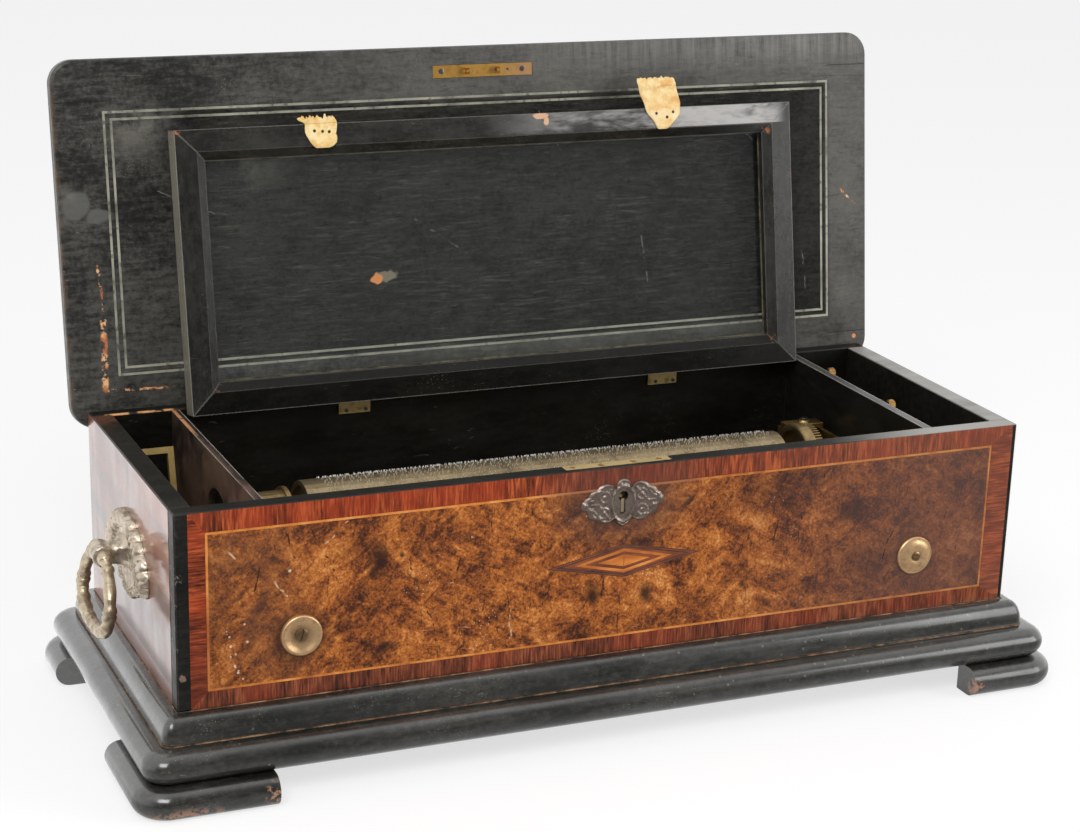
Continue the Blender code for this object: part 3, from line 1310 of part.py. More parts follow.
def build_governor_train(mats, right):
    """The two wheels between the great wheel and the endless screw, each with its pinion."""
    phase = meshing_phase(great_wheel_teeth, first_pinion_teeth, first_pinion_direction)
    first = prism("governor_first_wheel", gear_outline(first_axis, first_wheel_teeth, governor_module), "X",
                  first_wheel_x, first_wheel_x + governor_wheel_thickness, mats["brass"],
                  "governor_first_axle")
    pinion_right = governor_left_x - running_gap
    pinion_left = great_wheel_left_x + great_wheel_thickness - great_wheel_tooth_width + first_pinion_gap
    join(first, prism_mesh(gear_outline(first_axis, first_pinion_teeth, wheel_module, phase), "X",
                           pinion_left, pinion_right), "governor_first_axle")
    join(first, rod_mesh("X", first_axis, governor_arbor_radius, pinion_left + seat_gap, right, small_steps),
         "governor_first_axle")
    phase = meshing_phase(first_wheel_teeth, second_pinion_teeth, second_pinion_direction)
    worm_teeth = gear_outline(second_axis, worm_wheel_teeth, worm_wheel_module)
    second = prism("governor_worm_wheel", worm_teeth, "X", second_wheel_x,
                   second_wheel_x + governor_wheel_thickness, mats["brass"], "governor_second_axle")
    join(second, prism_mesh(gear_outline(second_axis, second_pinion_teeth, governor_module, phase), "X",
                            first_wheel_x - seat_gap, first_wheel_x + governor_wheel_thickness + seat_gap),
         "governor_second_axle")
    join(second, rod_mesh("X", second_axis, governor_arbor_radius, governor_left_x, right, small_steps),
         "governor_second_axle")


def build_endless_screw(mats, base_top, cock_low):
    """The upright screw that the worm wheel drives, with the fly that holds the speed."""
    fly_low = base_top + screw_end_gap
    screw_high = governor_top_z - screw_end_gap
    arbor_low = bedplate_seat_z + seat_gap
    arbor_high = cock_low + governor_cock_height / 2 - seat_gap
    spin = turned("governor_endless_screw",
                  [(0, arbor_low), (governor_arbor_radius, arbor_low), (governor_arbor_radius, fly_low),
                   (worm_radius, fly_low), (worm_radius, screw_high), (governor_arbor_radius, screw_high),
                   (governor_arbor_radius, arbor_high), (0, arbor_high)],
                  "Z", worm_axis, small_steps, mats["steel"], "fly_axle")
    half = fly_thickness / 2
    join(spin, block_mesh((worm_axis.x - fly_radius, worm_axis.y - half, fly_low + seat_gap),
                          (worm_axis.x + fly_radius, worm_axis.y + half, fly_low + fly_height)), "fly_axle")


def build_governor(mats):
    """Governor: two wheels and an endless screw whose fly holds the speed."""
    base_top = bedplate_seat_z + governor_base_height
    right = governor_inner_right_x + governor_plate
    cock_low = governor_top_z + seat_gap
    build_governor_frame(mats, base_top, right, cock_low)
    build_governor_train(mats, right)
    build_endless_screw(mats, base_top, cock_low)


def build_control(mats, name, y, pivot_name):
    """A lever with a disc knob in the right compartment, on an arbor through the partition."""
    ledge_right = right_partition_right_x + seat_gap + ledge_thickness
    left = ledge_right + control_side_gap
    right = left + control_lever_thickness
    half = control_lever_width / 2
    centre = Vector((0, y, control_pivot_z))
    outline = arc((y, control_pivot_z), half, math.pi, 2 * math.pi, lever_end_steps)
    outline += arc((y, knob_z), half, 0, math.pi, lever_end_steps)
    lever = prism(name, outline, "X", left, right, mats["brass"], pivot_name)
    knob_left = right - knob_thickness
    rim = knob_radius * knob_rim_share
    face = right + knob_radius * knob_face_share
    knob = [(0, knob_left), (rim, knob_left), (knob_radius, knob_left + knob_radius * knob_edge_share),
            (knob_radius, right + knob_radius * knob_side_share), (rim, face), (0, face)]
    join(lever, turned_mesh(knob, "X", Vector((0, y, knob_z)), small_steps), pivot_name)
    arm_right = right_partition_left_x - running_gap * 2
    arm_left = arm_right - control_inner_arm_thickness
    join(lever, rod_mesh("X", centre, control_arbor_radius, arm_left, right, small_steps), pivot_name)
    inner = arc((y, control_pivot_z), half, 0, math.pi, lever_end_steps)
    inner += arc((y, control_pivot_z - control_inner_arm), half * control_inner_tip_share, math.pi,
                 2 * math.pi, lever_end_steps)
    join(lever, prism_mesh(inner, "X", arm_left, arm_right), pivot_name)


def make_pivots():
    pivot("case", (0, 0, 0))
    pivot("lid_pivot", lid_pivot, "case")
    pivot("glass_lid_pivot", glass_pivot, "case")
    pivot("bail_left_pivot", (-half_width - bail_pivot_out, 0, bail_pivot_z), "case")
    pivot("bail_right_pivot", (half_width + bail_pivot_out, 0, bail_pivot_z), "case")
    pivot("bolt_slide", (keep_plate_x, inner_front_y, case_height), "case")
    pivot("cylinder_axle", cylinder_axis, "case")
    pivot("cylinder_slide", cylinder_axis, "cylinder_axle")
    pivot("barrel_axle", cylinder_axis, "case")
    pivot("barrel_arbor_axle", cylinder_axis, "case")
    pivot("winding_axle", winding_axis, "case")
    pivot("winding_lever_pivot", winding_axis, "case")
    pivot("click_pivot", click_place(), "case")
    pivot("governor_first_axle", first_axis, "case")
    pivot("governor_second_axle", second_axis, "case")
    pivot("fly_axle", worm_axis, "case")
    pivot("stop_lever_pivot", (right_partition_right_x, stop_knob_y, control_pivot_z), "case")
    pivot("change_lever_pivot", (right_partition_right_x, change_knob_y, control_pivot_z), "case")


def stand_on_origin():
    """Stand the opened box on the origin: feet at Z zero, centred in X and Y."""
    bpy.context.view_layer.update()
    graph = bpy.context.evaluated_depsgraph_get()
    corners = []
    for item in scene.objects:
        if item.type == 'MESH' and not item.hide_render:
            shape = item.evaluated_get(graph)
            mesh = shape.to_mesh()
            corners += [shape.matrix_world @ v.co for v in mesh.vertices]
            shape.to_mesh_clear()
    low = Vector([min(c[i] for c in corners) for i in range(3)])
    high = Vector([max(c[i] for c in corners) for i in range(3)])
    middle = (low + high) / 2
    pivot_empties["case"].location = (-middle.x, -middle.y, -low.z)


def main():
    clear_scene()
    make_pivots()
    mats = make_materials()
    front = build_case(mats)
    build_plinth(mats)
    build_lid(mats)
    build_glass_lid(mats)
    build_lock(mats, front)
    build_washers(mats, front)
    build_handle(mats, "left", -1)
    build_handle(mats, "right", 1)
    build_bedplate(mats)
    build_comb(mats)
    left_bridge_x, right_bridge_x = build_bridges(mats)
    build_cylinder(mats, left_bridge_x, right_bridge_x)
    work = build_barrel(mats, left_bridge_x)
    build_winding(mats, *work)
    build_governor(mats)
    build_control(mats, "start_stop_lever", stop_knob_y, "stop_lever_pivot")
    build_control(mats, "change_repeat_lever", change_knob_y, "change_lever_pivot")
    pivot_empties["lid_pivot"].rotation_euler.x = -lid_open_angle
    pivot_empties["glass_lid_pivot"].rotation_euler.x = -glass_lid_open_angle
    stand_on_origin()


main()
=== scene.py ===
"""The looks of the cylinder music box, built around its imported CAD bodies."""
import json
import math
import random
from math import cos, pi, sin

import bmesh
import bpy
from mathutils import Matrix, Vector, noise


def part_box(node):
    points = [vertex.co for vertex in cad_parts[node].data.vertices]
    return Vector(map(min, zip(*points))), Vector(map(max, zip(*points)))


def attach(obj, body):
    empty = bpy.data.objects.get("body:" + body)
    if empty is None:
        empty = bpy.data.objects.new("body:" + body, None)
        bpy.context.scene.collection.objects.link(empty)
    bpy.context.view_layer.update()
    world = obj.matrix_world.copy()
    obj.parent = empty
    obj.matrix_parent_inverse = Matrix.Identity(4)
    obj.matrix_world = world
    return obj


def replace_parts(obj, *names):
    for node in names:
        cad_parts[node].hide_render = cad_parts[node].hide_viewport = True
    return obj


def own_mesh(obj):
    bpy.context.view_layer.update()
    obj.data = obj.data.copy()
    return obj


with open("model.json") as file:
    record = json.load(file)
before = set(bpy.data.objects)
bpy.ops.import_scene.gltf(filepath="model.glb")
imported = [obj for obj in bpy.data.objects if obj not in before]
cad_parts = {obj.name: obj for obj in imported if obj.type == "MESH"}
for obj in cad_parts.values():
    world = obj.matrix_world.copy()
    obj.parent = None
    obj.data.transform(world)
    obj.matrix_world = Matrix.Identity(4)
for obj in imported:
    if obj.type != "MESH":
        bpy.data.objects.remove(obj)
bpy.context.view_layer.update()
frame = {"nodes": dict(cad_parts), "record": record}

mm = 0.001
X, Y, Z = (1, 0, 0), (0, 1, 0), (0, 0, 1)
outward = (0, -1, 0)
random.seed(7)
nodes = frame["nodes"]
scene = bpy.context.scene

# Sizes of the case that its veneers and fittings are laid out from, in millimetres
half_width = 310
wall_to_front = 115
front_y = -wall_to_front
glass_underside = 16.5
veneer = 0.2
sides = (("left", -1), ("right", 1))
# How far the two lids stand open at rest
lid_angle, glass_angle = math.radians(-98), math.radians(-100.5)

# Places: the case frame has its origin at the centre of the case, Z zero under the walls
front_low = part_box("case_front")[0]
shift_y, shift_z = front_low.y + wall_to_front * mm, front_low.z - 0.3 * mm
joints = frame["record"]["behaviour"]["joints"]
hinges = {j["name"]: Vector(j["pos_m"]) for j in joints if "pos_m" in j}


def in_case(x, y, z):
    """A place in the case frame, given in millimetres."""
    return Vector((x * mm, y * mm + shift_y, z * mm + shift_z))


def swung(hinge, angle, x, v, n):
    """A place on an open lid: v forward of the hinge when shut, n above it."""
    pivot, y, z = hinges[hinge], -v * mm, n * mm
    return Vector((x * mm, pivot.y + y * cos(angle) - z * sin(angle),
                   pivot.z + y * sin(angle) + z * cos(angle)))


def on_lid(x, v, n):
    """A place on the lid: n is the height above its underside when shut."""
    return swung("lid_hinge", lid_angle, x, v, n + 0.15)


def on_glass(x, v, n):
    """A place on the glass lid: n is the height above its underside when shut."""
    return swung("glass_lid_hinge", glass_angle, x, v, n - glass_underside)


def front(x, z):
    return in_case(x, front_y, z)


def lid_inside(x, v):
    return on_lid(x, v, 0)


def lid_height(x, n):
    """A plane square to the lid, for rise()."""
    return on_lid(x, 0, n)


def glass_frame(x, v):
    return on_glass(x, v, 0)


def tone(red, green, blue):
    """The shader's value for a colour that reads as these three on a screen."""
    return tuple((c / 255 / 12.92) if c < 10.3 else ((c / 255 + 0.055) / 1.055) ** 2.4
                 for c in (red, green, blue))


# Shader nodes. Colours given as three numbers up to 255 are screen colours
def put(tree, socket, value):
    """Wires a socket to another one, or sets it to a value."""
    if isinstance(value, bpy.types.NodeSocket):
        tree.links.new(value, socket)
    elif socket.type == 'RGBA':
        socket.default_value = (*value, 1)
    else:
        socket.default_value = value


def add_node(tree, kind, inputs=(), **props):
    """A new node with its properties, and its inputs set or wired, in turn or by name or number."""
    made = tree.nodes.new(kind)
    for key, value in props.items():
        setattr(made, key, value)
    for key, value in inputs.items() if isinstance(inputs, dict) else enumerate(inputs):
        put(tree, made.inputs[key], value)
    return made


class Mat:
    """A node material, built up by short calls. Its colour so far is col."""

    def __init__(self, name, rough=0.5, metal=0, coat=0, coat_rough=0.1, coat_ior=1.5, spec=0.5):
        self.m = bpy.data.materials.new(name)
        self.m.use_nodes = True
        self.tree = self.m.node_tree
        for socket, value in (("Roughness", rough), ("Metallic", metal), ("Coat Weight", coat),
                              ("Coat Roughness", coat_rough), ("Coat IOR", coat_ior),
                              ("Specular IOR Level", spec)):
            self.set(socket, value)
        self.obj = self.node("ShaderNodeTexCoord").outputs["Object"]

    def set(self, socket, value):
        put(self.tree, self.tree.nodes["Principled BSDF"].inputs[socket], value)

    def made(self):
        """The finished material, in the colour that has been laid."""
        self.set("Base Color", self.col)
        return self.m

    def node(self, kind, inputs=(), **props):
        return add_node(self.tree, kind, inputs, **props)

    def vector(self, operation, a, b=(0, 0, 0), scale=1, out="Vector"):
        inputs = {0: a, 1: b, 3: scale}
        return self.node("ShaderNodeVectorMath", inputs, operation=operation).outputs[out]

    def mapped(self, scale=(1, 1, 1), vec=None, rot=(0, 0, 0)):
        inputs = {"Vector": vec or self.obj, "Scale": scale, "Rotation": rot}
        return self.node("ShaderNodeMapping", inputs).outputs[0]

    def noise(self, scale, detail=4, rough=0.5, distort=0, vec=None, stretch=None, out="Fac"):
        place = self.mapped(stretch, vec) if stretch else vec or self.obj
        inputs = {"Vector": place, "Scale": scale, "Detail": detail, "Roughness": rough,
                  "Distortion": distort}
        return self.node("ShaderNodeTexNoise", inputs).outputs[out]

    def blots(self, low, high, scale, *grit, **more):
        """1 where a noise is above high, 0 where it is below low."""
        return self.step(self.noise(scale, *grit, **more), low, high)

    def sway(self, scale, amount):
        """The place, pushed about by a soft noise, so that what is drawn with it bends."""
        push = self.vector('SUBTRACT', self.noise(scale, 2, out="Color"), (0.5, 0.5, 0.5))
        return self.vector('ADD', self.obj, self.vector('SCALE', push, scale=amount))

    def cells(self, scale, vec=None):
        inputs = {"Vector": vec or self.obj, "Scale": scale}
        return self.node("ShaderNodeTexVoronoi", inputs).outputs["Distance"]

    def ramp(self, fac, *stops):
        """Looks a value up among stops of (place, screen colour or grey value)."""
        made = self.node("ShaderNodeValToRGB", [fac])
        elements = made.color_ramp.elements
        while len(elements) < len(stops):
            elements.new(0.5)
        for element, (place, shade) in zip(elements, stops):
            element.position = place
            element.color = (*tone(*shade), 1) if isinstance(shade, tuple) else (shade, shade, shade, 1)
        return made.outputs["Color"]

    def mix(self, fac, a, b, mode='MIX'):
        a, b = (tone(*c) if isinstance(c, tuple) else c for c in (a, b))
        inputs = {"Factor": fac, 6: a, 7: b}
        return self.node("ShaderNodeMix", inputs, data_type='RGBA', blend_type=mode).outputs[2]

    def over(self, shade, *factors, mode='MIX'):
        """Lays a colour over the one so far, as far as all the factors let it."""
        self.col = self.mix(self.times(*factors), self.col, shade, mode)

    def math(self, operation, *values):
        """One sum after another, from the first value to the last."""
        result = values[0]
        for value in values[1:]:
            result = self.node("ShaderNodeMath", [result, value], operation=operation).outputs[0]
        return result

    def most(self, *values):
        return self.math('MAXIMUM', *values)

    def times(self, *values):
        return self.math('MULTIPLY', *values)

    def weighed(self, *pairs):
        """The sum of several patterns, each times its share."""
        return self.math('ADD', *[self.times(*pair) for pair in pairs])

    def dot(self, axis, vec=None):
        return self.vector('DOT_PRODUCT', vec or self.obj, axis, out="Value")

    def rise(self, at):
        """How far a place lies along the second number of a plane, in metres."""
        run = (at(0, 1) - at(0, 0)).normalized()
        return self.dot(tuple(run), self.vector('SUBTRACT', self.obj, tuple(at(0, 0))))

    def step(self, value, low, high):
        """0 below low and 1 above high, smooth between."""
        inputs = {"Value": value, "From Min": low, "From Max": high}
        return self.node("ShaderNodeMapRange", inputs, interpolation_type='SMOOTHSTEP').outputs["Result"]

    def under(self, value, low, high):
        return self.math('SUBTRACT', 1, self.step(value, low, high))

    def within(self, value, low, high, soft=0.0002):
        return self.times(self.step(value, low - soft, low + soft),
                          self.under(value, high - soft, high + soft))

    def spot(self, place, radius, soft=0.5, squash=(1, 1, 1), vec=None):
        """1 inside a soft blob round a place, 0 outside. The radius is in millimetres."""
        away = self.vector('MULTIPLY', self.vector('SUBTRACT', vec or self.obj, place), squash)
        distance = self.vector('LENGTH', away, out="Value")
        return self.under(distance, radius * (1 - soft) * mm, radius * mm)

    def segment(self, start, end, width, vec):
        """1 on a thin line between two places, 0 beside it. The width is in millimetres."""
        run = end - start
        away = self.vector('SUBTRACT', vec or self.obj, start)
        share = self.node("ShaderNodeClamp", [self.dot(tuple(run / run.length_squared), away)]).outputs[0]
        beside = self.vector('SUBTRACT', away, self.vector('SCALE', tuple(run), scale=share))
        return self.under(self.vector('LENGTH', beside, out="Value"), width * 0.4 * mm, width * mm)

    def lines(self, at, marks, width, vec=None):
        """1 on each of several thin lines. A mark is the two numbers of one end, then of the other."""
        return self.most(*[self.segment(at(*mark[:2]), at(*mark[2:]), width, vec) for mark in marks])

    def edge(self, radius=0.0012, low=0.02, high=0.16):
        """1 on arrises, from how far a bevelled normal turns."""
        bevelled = self.node("ShaderNodeBevel", {"Radius": radius}, samples=4).outputs[0]
        normal = self.node("ShaderNodeNewGeometry").outputs["Normal"]
        turned = self.vector('DOT_PRODUCT', bevelled, normal, out="Value")
        return self.step(self.math('SUBTRACT', 1, turned), low, high)

    def specks(self, scale, size, where):
        """Small round dots where a mask is 1."""
        return self.times(self.under(self.cells(scale), size * 0.6, size), where)

    def bump(self, height, strength, distance):
        inputs = {"Height": height, "Strength": strength, "Distance": distance}
        self.set("Normal", self.node("ShaderNodeBump", inputs).outputs[0])


def mottled(name, stops, *grit, stretch=None, **look):
    """A plain material: one noise that runs through a few tones."""
    m = Mat(name, **look)
    m.col = m.ramp(m.noise(*grit, stretch=stretch), *stops)
    return m.made()


def grain(axis, along, across):
    """Scale that stretches a pattern out along one axis."""
    return tuple(along if i == "XYZ".index(axis) else across for i in range(3))


def ebonised(name, axis="X", black=30, grey=58, rough=0.38, dust=0.5, wear=0.4, spec=0.5, line=0.15,
             coat=0, extra=None):
    """Black stained and polished wood: faint grain, dust, fine scratches, worn arrises, painted arris
    highlights.
    """
    m = Mat(name, rough=rough, spec=spec, coat=coat, coat_rough=0.13, coat_ior=1.55)
    fibre = m.noise(60, 5, 0.65, 0.2, stretch=grain(axis, 1, 5))
    level = m.weighed((fibre, 0.32), (m.noise(12, 5, 0.7), 0.38), (m.noise(260, 4, 0.7), 0.3))
    m.col = m.mix(m.step(level, 0.4, 0.62), (black, black - 0.5, black - 3), (grey, grey - 1, grey - 6))
    patch = m.blots(0.58 - 0.08 * dust, 0.72 - 0.08 * dust, 24, 3, 0.7)
    m.over((150, 146, 134), m.specks(520, 0.2, patch), 0.5 * dust)
    hair = m.times(m.blots(0.7, 0.73, 70, 2, 0.5, 1.4, stretch=(1, 7, 6)), m.blots(0.48, 0.6, 13, 2))
    m.over((140, 136, 124), hair, 0.4 * dust)
    if extra:
        extra(m)
    if wear:
        arris = m.edge()
        worn = m.times(arris, m.blots(0.62 - 0.14 * wear, 0.7 - 0.12 * wear, 34, 4, 0.75))
        # Painted highlight: a pale line along every arris, as strong as line
        m.over((150, 148, 140), arris, line)
        m.over(m.mix(m.blots(0.45, 0.62, 70, 2), (104, 96, 84), (150, 92, 60)), worn, 0.7)
    polish = m.noise(17, 4, 0.6, stretch=grain(axis, 1, 3))
    m.set("Roughness", m.ramp(polish, (0.35, rough - 0.06), (0.68, rough + 0.12)))
    m.bump(fibre, 0.03, 0.0005)
    return m.made()


def brass(name, light, tarnish, rough=0.34, amount=0.5, scale=30, brushed=None, pits=0.3, metal=1,
          cast=0, extra=None):
    """Old metal: a tone and its tarnish in clouds, dark in the pits, duller where it is tarnished."""
    m = Mat(name, rough=rough, metal=metal)
    cloud, fine = m.noise(scale, 5, 0.65, 0.4), m.noise(280, 3, 0.6)
    m.col = m.mix(m.times(m.step(cloud, 0.42, 0.72), amount), light, tarnish)
    m.over(tarnish, m.step(fine, 0.55, 0.75), pits)
    if extra:
        extra(m)
    m.set("Roughness", m.ramp(cloud, (0.3, rough - 0.08), (0.75, rough + 0.2)))
    if cast:
        m.bump(m.weighed((m.cells(210, vec=m.sway(120, 0.006)), 0.9), (fine, 0.35)), cast, 0.0012)
    else:
        m.bump(m.noise(200, 3, 0.6, stretch=brushed) if brushed else fine, 0.12, 0.0004)
    return m.made()


def rosewood(name, axis, tones, bands, rough, coat, coat_rough):
    """Crossbanding and end veneer: fine low lines along one axis, with broader changes of tone."""
    m = Mat(name, rough=rough, coat=coat, coat_rough=coat_rough)
    level = m.weighed((m.noise(bands, 3, 0.6, 0.1, stretch=grain(axis, 0.08, 1)), 0.55),
                      (m.noise(bands / 6, 4, 0.6, 0.2, stretch=grain(axis, 0.3, 1)), 0.45))
    m.col = m.ramp(level, *zip((0.37, 0.5, 0.63), tones))
    streak = m.under(m.noise(bands * 1.6, 2, 0.5, stretch=grain(axis, 0.05, 1)), 0.33, 0.4)
    m.over(tuple(c * 0.62 for c in tones[0]), streak, 0.5)
    m.over((196, 160, 138), m.specks(330, 0.14, m.blots(0.62, 0.7, 30, 2)), 0.5)
    return m


def walnut(m):
    """Burr walnut: granular mottling with short fibres, small dark eyes and soft clouds of tone."""
    bent = m.sway(22, 0.02)
    rising = m.noise(85, 6, 0.68, 0.8, vec=m.mapped(rot=(0, 0.75, 0)), stretch=(0.35, 1, 1.5))
    falling = m.noise(95, 6, 0.68, 0.8, vec=m.mapped(rot=(0, -0.5, 0)), stretch=(0.4, 1, 1.6))
    fibre = m.mix(m.blots(0.44, 0.56, 14, 3, 0.6), rising, falling)
    level = m.weighed((m.noise(100, 7, 0.7, 1, vec=bent), 0.27), (fibre, 0.22),
                      (m.noise(520, 4, 0.75), 0.28), (m.noise(30, 5, 0.6, 1), 0.23))
    m.col = m.ramp(level, (0.415, (54, 25, 12)), (0.46, (102, 52, 22)), (0.5, (150, 81, 31)),
                   (0.54, (186, 108, 42)), (0.59, (218, 150, 84)))
    m.over((46, 24, 15), m.under(m.cells(60, vec=bent), 0.05, 0.26), m.blots(0.55, 0.66, 24, 2), 0.8)
    return level


# Mesh helpers
def finish_mesh(name, bm, material, body=None, slot=None, smooth=True, angle=35):
    bmesh.ops.recalc_face_normals(bm, faces=bm.faces)
    mesh = bpy.data.meshes.new(name)
    bm.to_mesh(mesh)
    bm.free()
    if smooth:
        mesh.shade_smooth()
        mesh.set_sharp_from_angle(angle=math.radians(angle))
    ob = bpy.data.objects.new(name, mesh)
    scene.collection.objects.link(ob)
    if material:
        mesh.materials.append(material)
    if body:
        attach(ob, body)
    return ob


def slabs(name, material, body, slot, outlines, thick, smooth=True):
    """A piece of closed slabs: each a polygon of places, all with the same vector of thickness."""
    bm = bmesh.new()
    for outline in outlines:
        slab(bm, outline, thick)
    return finish_mesh(name, bm, material, body, slot, smooth)


def slab(bm, outline, thick):
    a = [bm.verts.new(p) for p in outline]
    b = [bm.verts.new(p + thick) for p in outline]
    bm.faces.new(a)
    bm.faces.new(b[::-1])
    for i in range(len(a)):
        j = (i + 1) % len(a)
        bm.faces.new((a[i], a[j], b[j], b[i]))


def corners(x0, v0, x1, v1):
    return [(x0, v0), (x1, v0), (x1, v1), (x0, v1)]


def inset(box, width):
    return box[0] + width, box[1] + width, box[2] - width, box[3] - width


def strips(at, outer, inner):
    """Outlines of the four mitred strips between two rectangles: bottom, right, top and left."""
    a, b = ([at(*p) for p in corners(*box)] for box in (outer, inner))
    return [[a[i], a[(i + 1) % 4], b[(i + 1) % 4], b[i]] for i in range(4)]


def skin(bm, rings, closed=False):
    """Quads between neighbouring rings of places, with a cap at each end unless they close."""
    rings = [[bm.verts.new(p) for p in ring] for ring in rings]
    pairs = list(zip(rings, rings[1:]))
    if closed:
        pairs.append((rings[-1], rings[0]))
    for a, b in pairs:
        for k in range(len(a)):
            j = (k + 1) % len(a)
            bm.faces.new((a[k], a[j], b[j], b[k]))
    if not closed:
        bm.faces.new(rings[0])
        bm.faces.new(rings[-1])


def turns(steps):
    return [2 * pi * k / steps for k in range(steps)]


def lathe(bm, profile, origin, axis, steps, closed=False):
    """Adds a turned form: (radius, height) pairs in millimetres about an axis through origin."""
    axis = Vector(axis).normalized()
    side = axis.orthogonal().normalized()
    other = axis.cross(side)
    skin(bm, [[origin + axis * h * mm + (side * cos(a) + other * sin(a)) * r * mm for a in turns(steps)]
              for r, h in profile], closed)


def screw(bm, origin, axis, radius, height, slot_turn, steps=10):
    """A slotted screw head standing on origin, in millimetres: a disc with two half domes on it."""
    axis = Vector(axis).normalized()
    side = Matrix.Rotation(slot_turn, 3, axis) @ axis.orthogonal().normalized()
    other = axis.cross(side)
    lathe(bm, [(radius * 0.96, 0), (radius * 0.96, height * 0.45)], origin, axis, steps * 2)
    gap = 0.15
    start = math.asin(gap)
    angles = [start + (pi - 2 * start) * i / steps for i in range(steps + 1)]
    for sign in (-1, 1):
        rows = []
        for share, rise in ((1, 0.4), (1, 0.72), (0.84, 0.95), (0.5, 1.05)):
            spread = share if share > 0.9 else 0.9 * share + 0.1
            rows.append([origin + axis * height * rise * mm
                         + (side * spread * cos(a) + other * sign * max(sin(a) * share, gap)) * radius * mm
                         for a in angles])
        skin(bm, rows)


def sweep(bm, path, radius, steps):
    """Adds a closed tube along a path in a plane nearly across X: radius(share of the way, angle)."""
    across = Vector(X)
    last = len(path) - 1
    rings = []
    for i, point in enumerate(path):
        up = (path[min(i + 1, last)] - path[max(i - 1, 0)]).normalized().cross(across)
        rings.append([point + (across * cos(a) + up * sin(a)) * radius(i / last, a) * mm
                      for a in turns(steps)])
    skin(bm, rings)


def smooth_path(points, count):
    """Places evenly numbered along a smooth curve through the given ones."""
    last = len(points) - 1
    result = []
    for k in range(count + 1):
        t = k / count * last
        i = min(int(t), last - 1)
        f = t - i
        a, b = points[max(i - 1, 0)], points[i]
        c, d = points[i + 1], points[min(i + 2, last)]
        result.append(0.5 * (2 * b + (c - a) * f + (2 * a - 5 * b + 4 * c - d) * f * f
                             + (3 * b - a - 3 * c + d) * f ** 3))
    return result


def reach(direction, lobes):
    """How far an outline made of round lobes reaches from the middle in one direction."""
    best = 0
    for u, v, r in lobes:
        along = direction[0] * u + direction[1] * v
        under = along * along - (u * u + v * v - r * r)
        if under > 0:
            best = max(best, along + math.sqrt(under))
    return best


def relief(name, place, size, inner, outer, height, counts, material, slot):
    """A cast plate between two lobed outlines, standing off the wall by height(u, v, t)."""
    rings, steps = counts
    spokes = []
    for a in turns(steps):
        d = Vector((size[0] * cos(a), size[1] * sin(a))).normalized()
        spokes.append((d, reach(d, inner), reach(d, outer)))
    rows = [[place(*(d * near), 0) for d, near, far in spokes]]
    for i in range(rings + 1):
        t = i / rings
        spread = [d * (near + (far - near) * t) for d, near, far in spokes]
        rows.append([place(u, v, height(u, v, t)) for u, v in spread])
    rows.append([place(*(d * far), 0) for d, near, far in spokes])
    bm = bmesh.new()
    skin(bm, rows, closed=True)
    return finish_mesh(name, bm, material, "case", slot, angle=50)


def hump(u, v, cu, cv, radius):
    """A half ball's height at a point, 0 outside it."""
    return math.sqrt(max(0, 1 - ((u - cu) ** 2 + (v - cv) ** 2) / radius ** 2))


def ridge(distance, width):
    return math.exp(-(distance / width) ** 2)


def beside(u, v, path):
    """The distance from a line through several points, and how far along it that is."""
    best, best_run, run = 1e9, 0, 0
    for (u0, v0), (u1, v1) in zip(path, path[1:]):
        du, dv = u1 - u0, v1 - v0
        length = math.hypot(du, dv)
        share = min(max(((u - u0) * du + (v - v0) * dv) / length ** 2, 0), 1)
        away = math.hypot(u - u0 - du * share, v - v0 - dv * share)
        if away < best:
            best, best_run = away, run + share * length
        run += length
    return best, best_run


def give(material, *names):
    """Puts a material on CAD nodes."""
    for name in names:
        slots = nodes[name].data.materials
        slots.clear()
        slots.append(material)


# Camera, light and floor. The camera is fitted to the photo's corners, in the photo's pixels
def camera():
    focal, image_width, image_height, middle_x, middle_y = 2443, 1080, 832, 555, 507.1
    az, el, roll = (math.radians(a) for a in (-23.76, 19.16, 1.73))
    distance, aim_z = 1.758, 67
    back = Vector((sin(az) * cos(el), -cos(az) * cos(el), sin(el)))
    level = (-back).cross(Vector(Z)).normalized()
    upright = level.cross(-back).normalized()
    right = level * cos(roll) + upright * sin(roll)
    up = -level * sin(roll) + upright * cos(roll)
    data = bpy.data.cameras.new("camera")
    data.lens = focal * data.sensor_width / image_width
    data.shift_x = (image_width / 2 - middle_x) / image_width
    data.shift_y = (middle_y - image_height / 2) / image_width
    data.clip_start, data.clip_end = 0.05, 60
    ob = bpy.data.objects.new("camera", data)
    turn = Matrix((right, up, back)).transposed().to_4x4()
    ob.matrix_world = Matrix.Translation(in_case(0, 0, aim_z) + back * distance) @ turn
    scene.collection.objects.link(ob)
    scene.camera = ob


def area(name, place, target, size, power):
    data = bpy.data.lights.new(name, 'AREA')
    data.shape = 'RECTANGLE'
    data.size, data.size_y = size
    data.energy = power
    ob = bpy.data.objects.new(name, data)
    ob.location = place
    ob.rotation_euler = (Vector(target) - Vector(place)).to_track_quat('-Z', 'Y').to_euler()
    scene.collection.objects.link(ob)


def pick_by_ray(tree, plain, shiny, seen):
    """One of three shaders: for the light on things, for reflections, for the camera and glass."""
    path = add_node(tree, "ShaderNodeLightPath").outputs
    first = add_node(tree, "ShaderNodeMixShader", [path["Is Glossy Ray"], plain, shiny])
    through = add_node(tree, "ShaderNodeMath", [path["Is Camera Ray"], path["Is Transmission Ray"]],
                       operation='MAXIMUM')
    return add_node(tree, "ShaderNodeMixShader", [through.outputs[0], first.outputs[0], seen]).outputs[0]


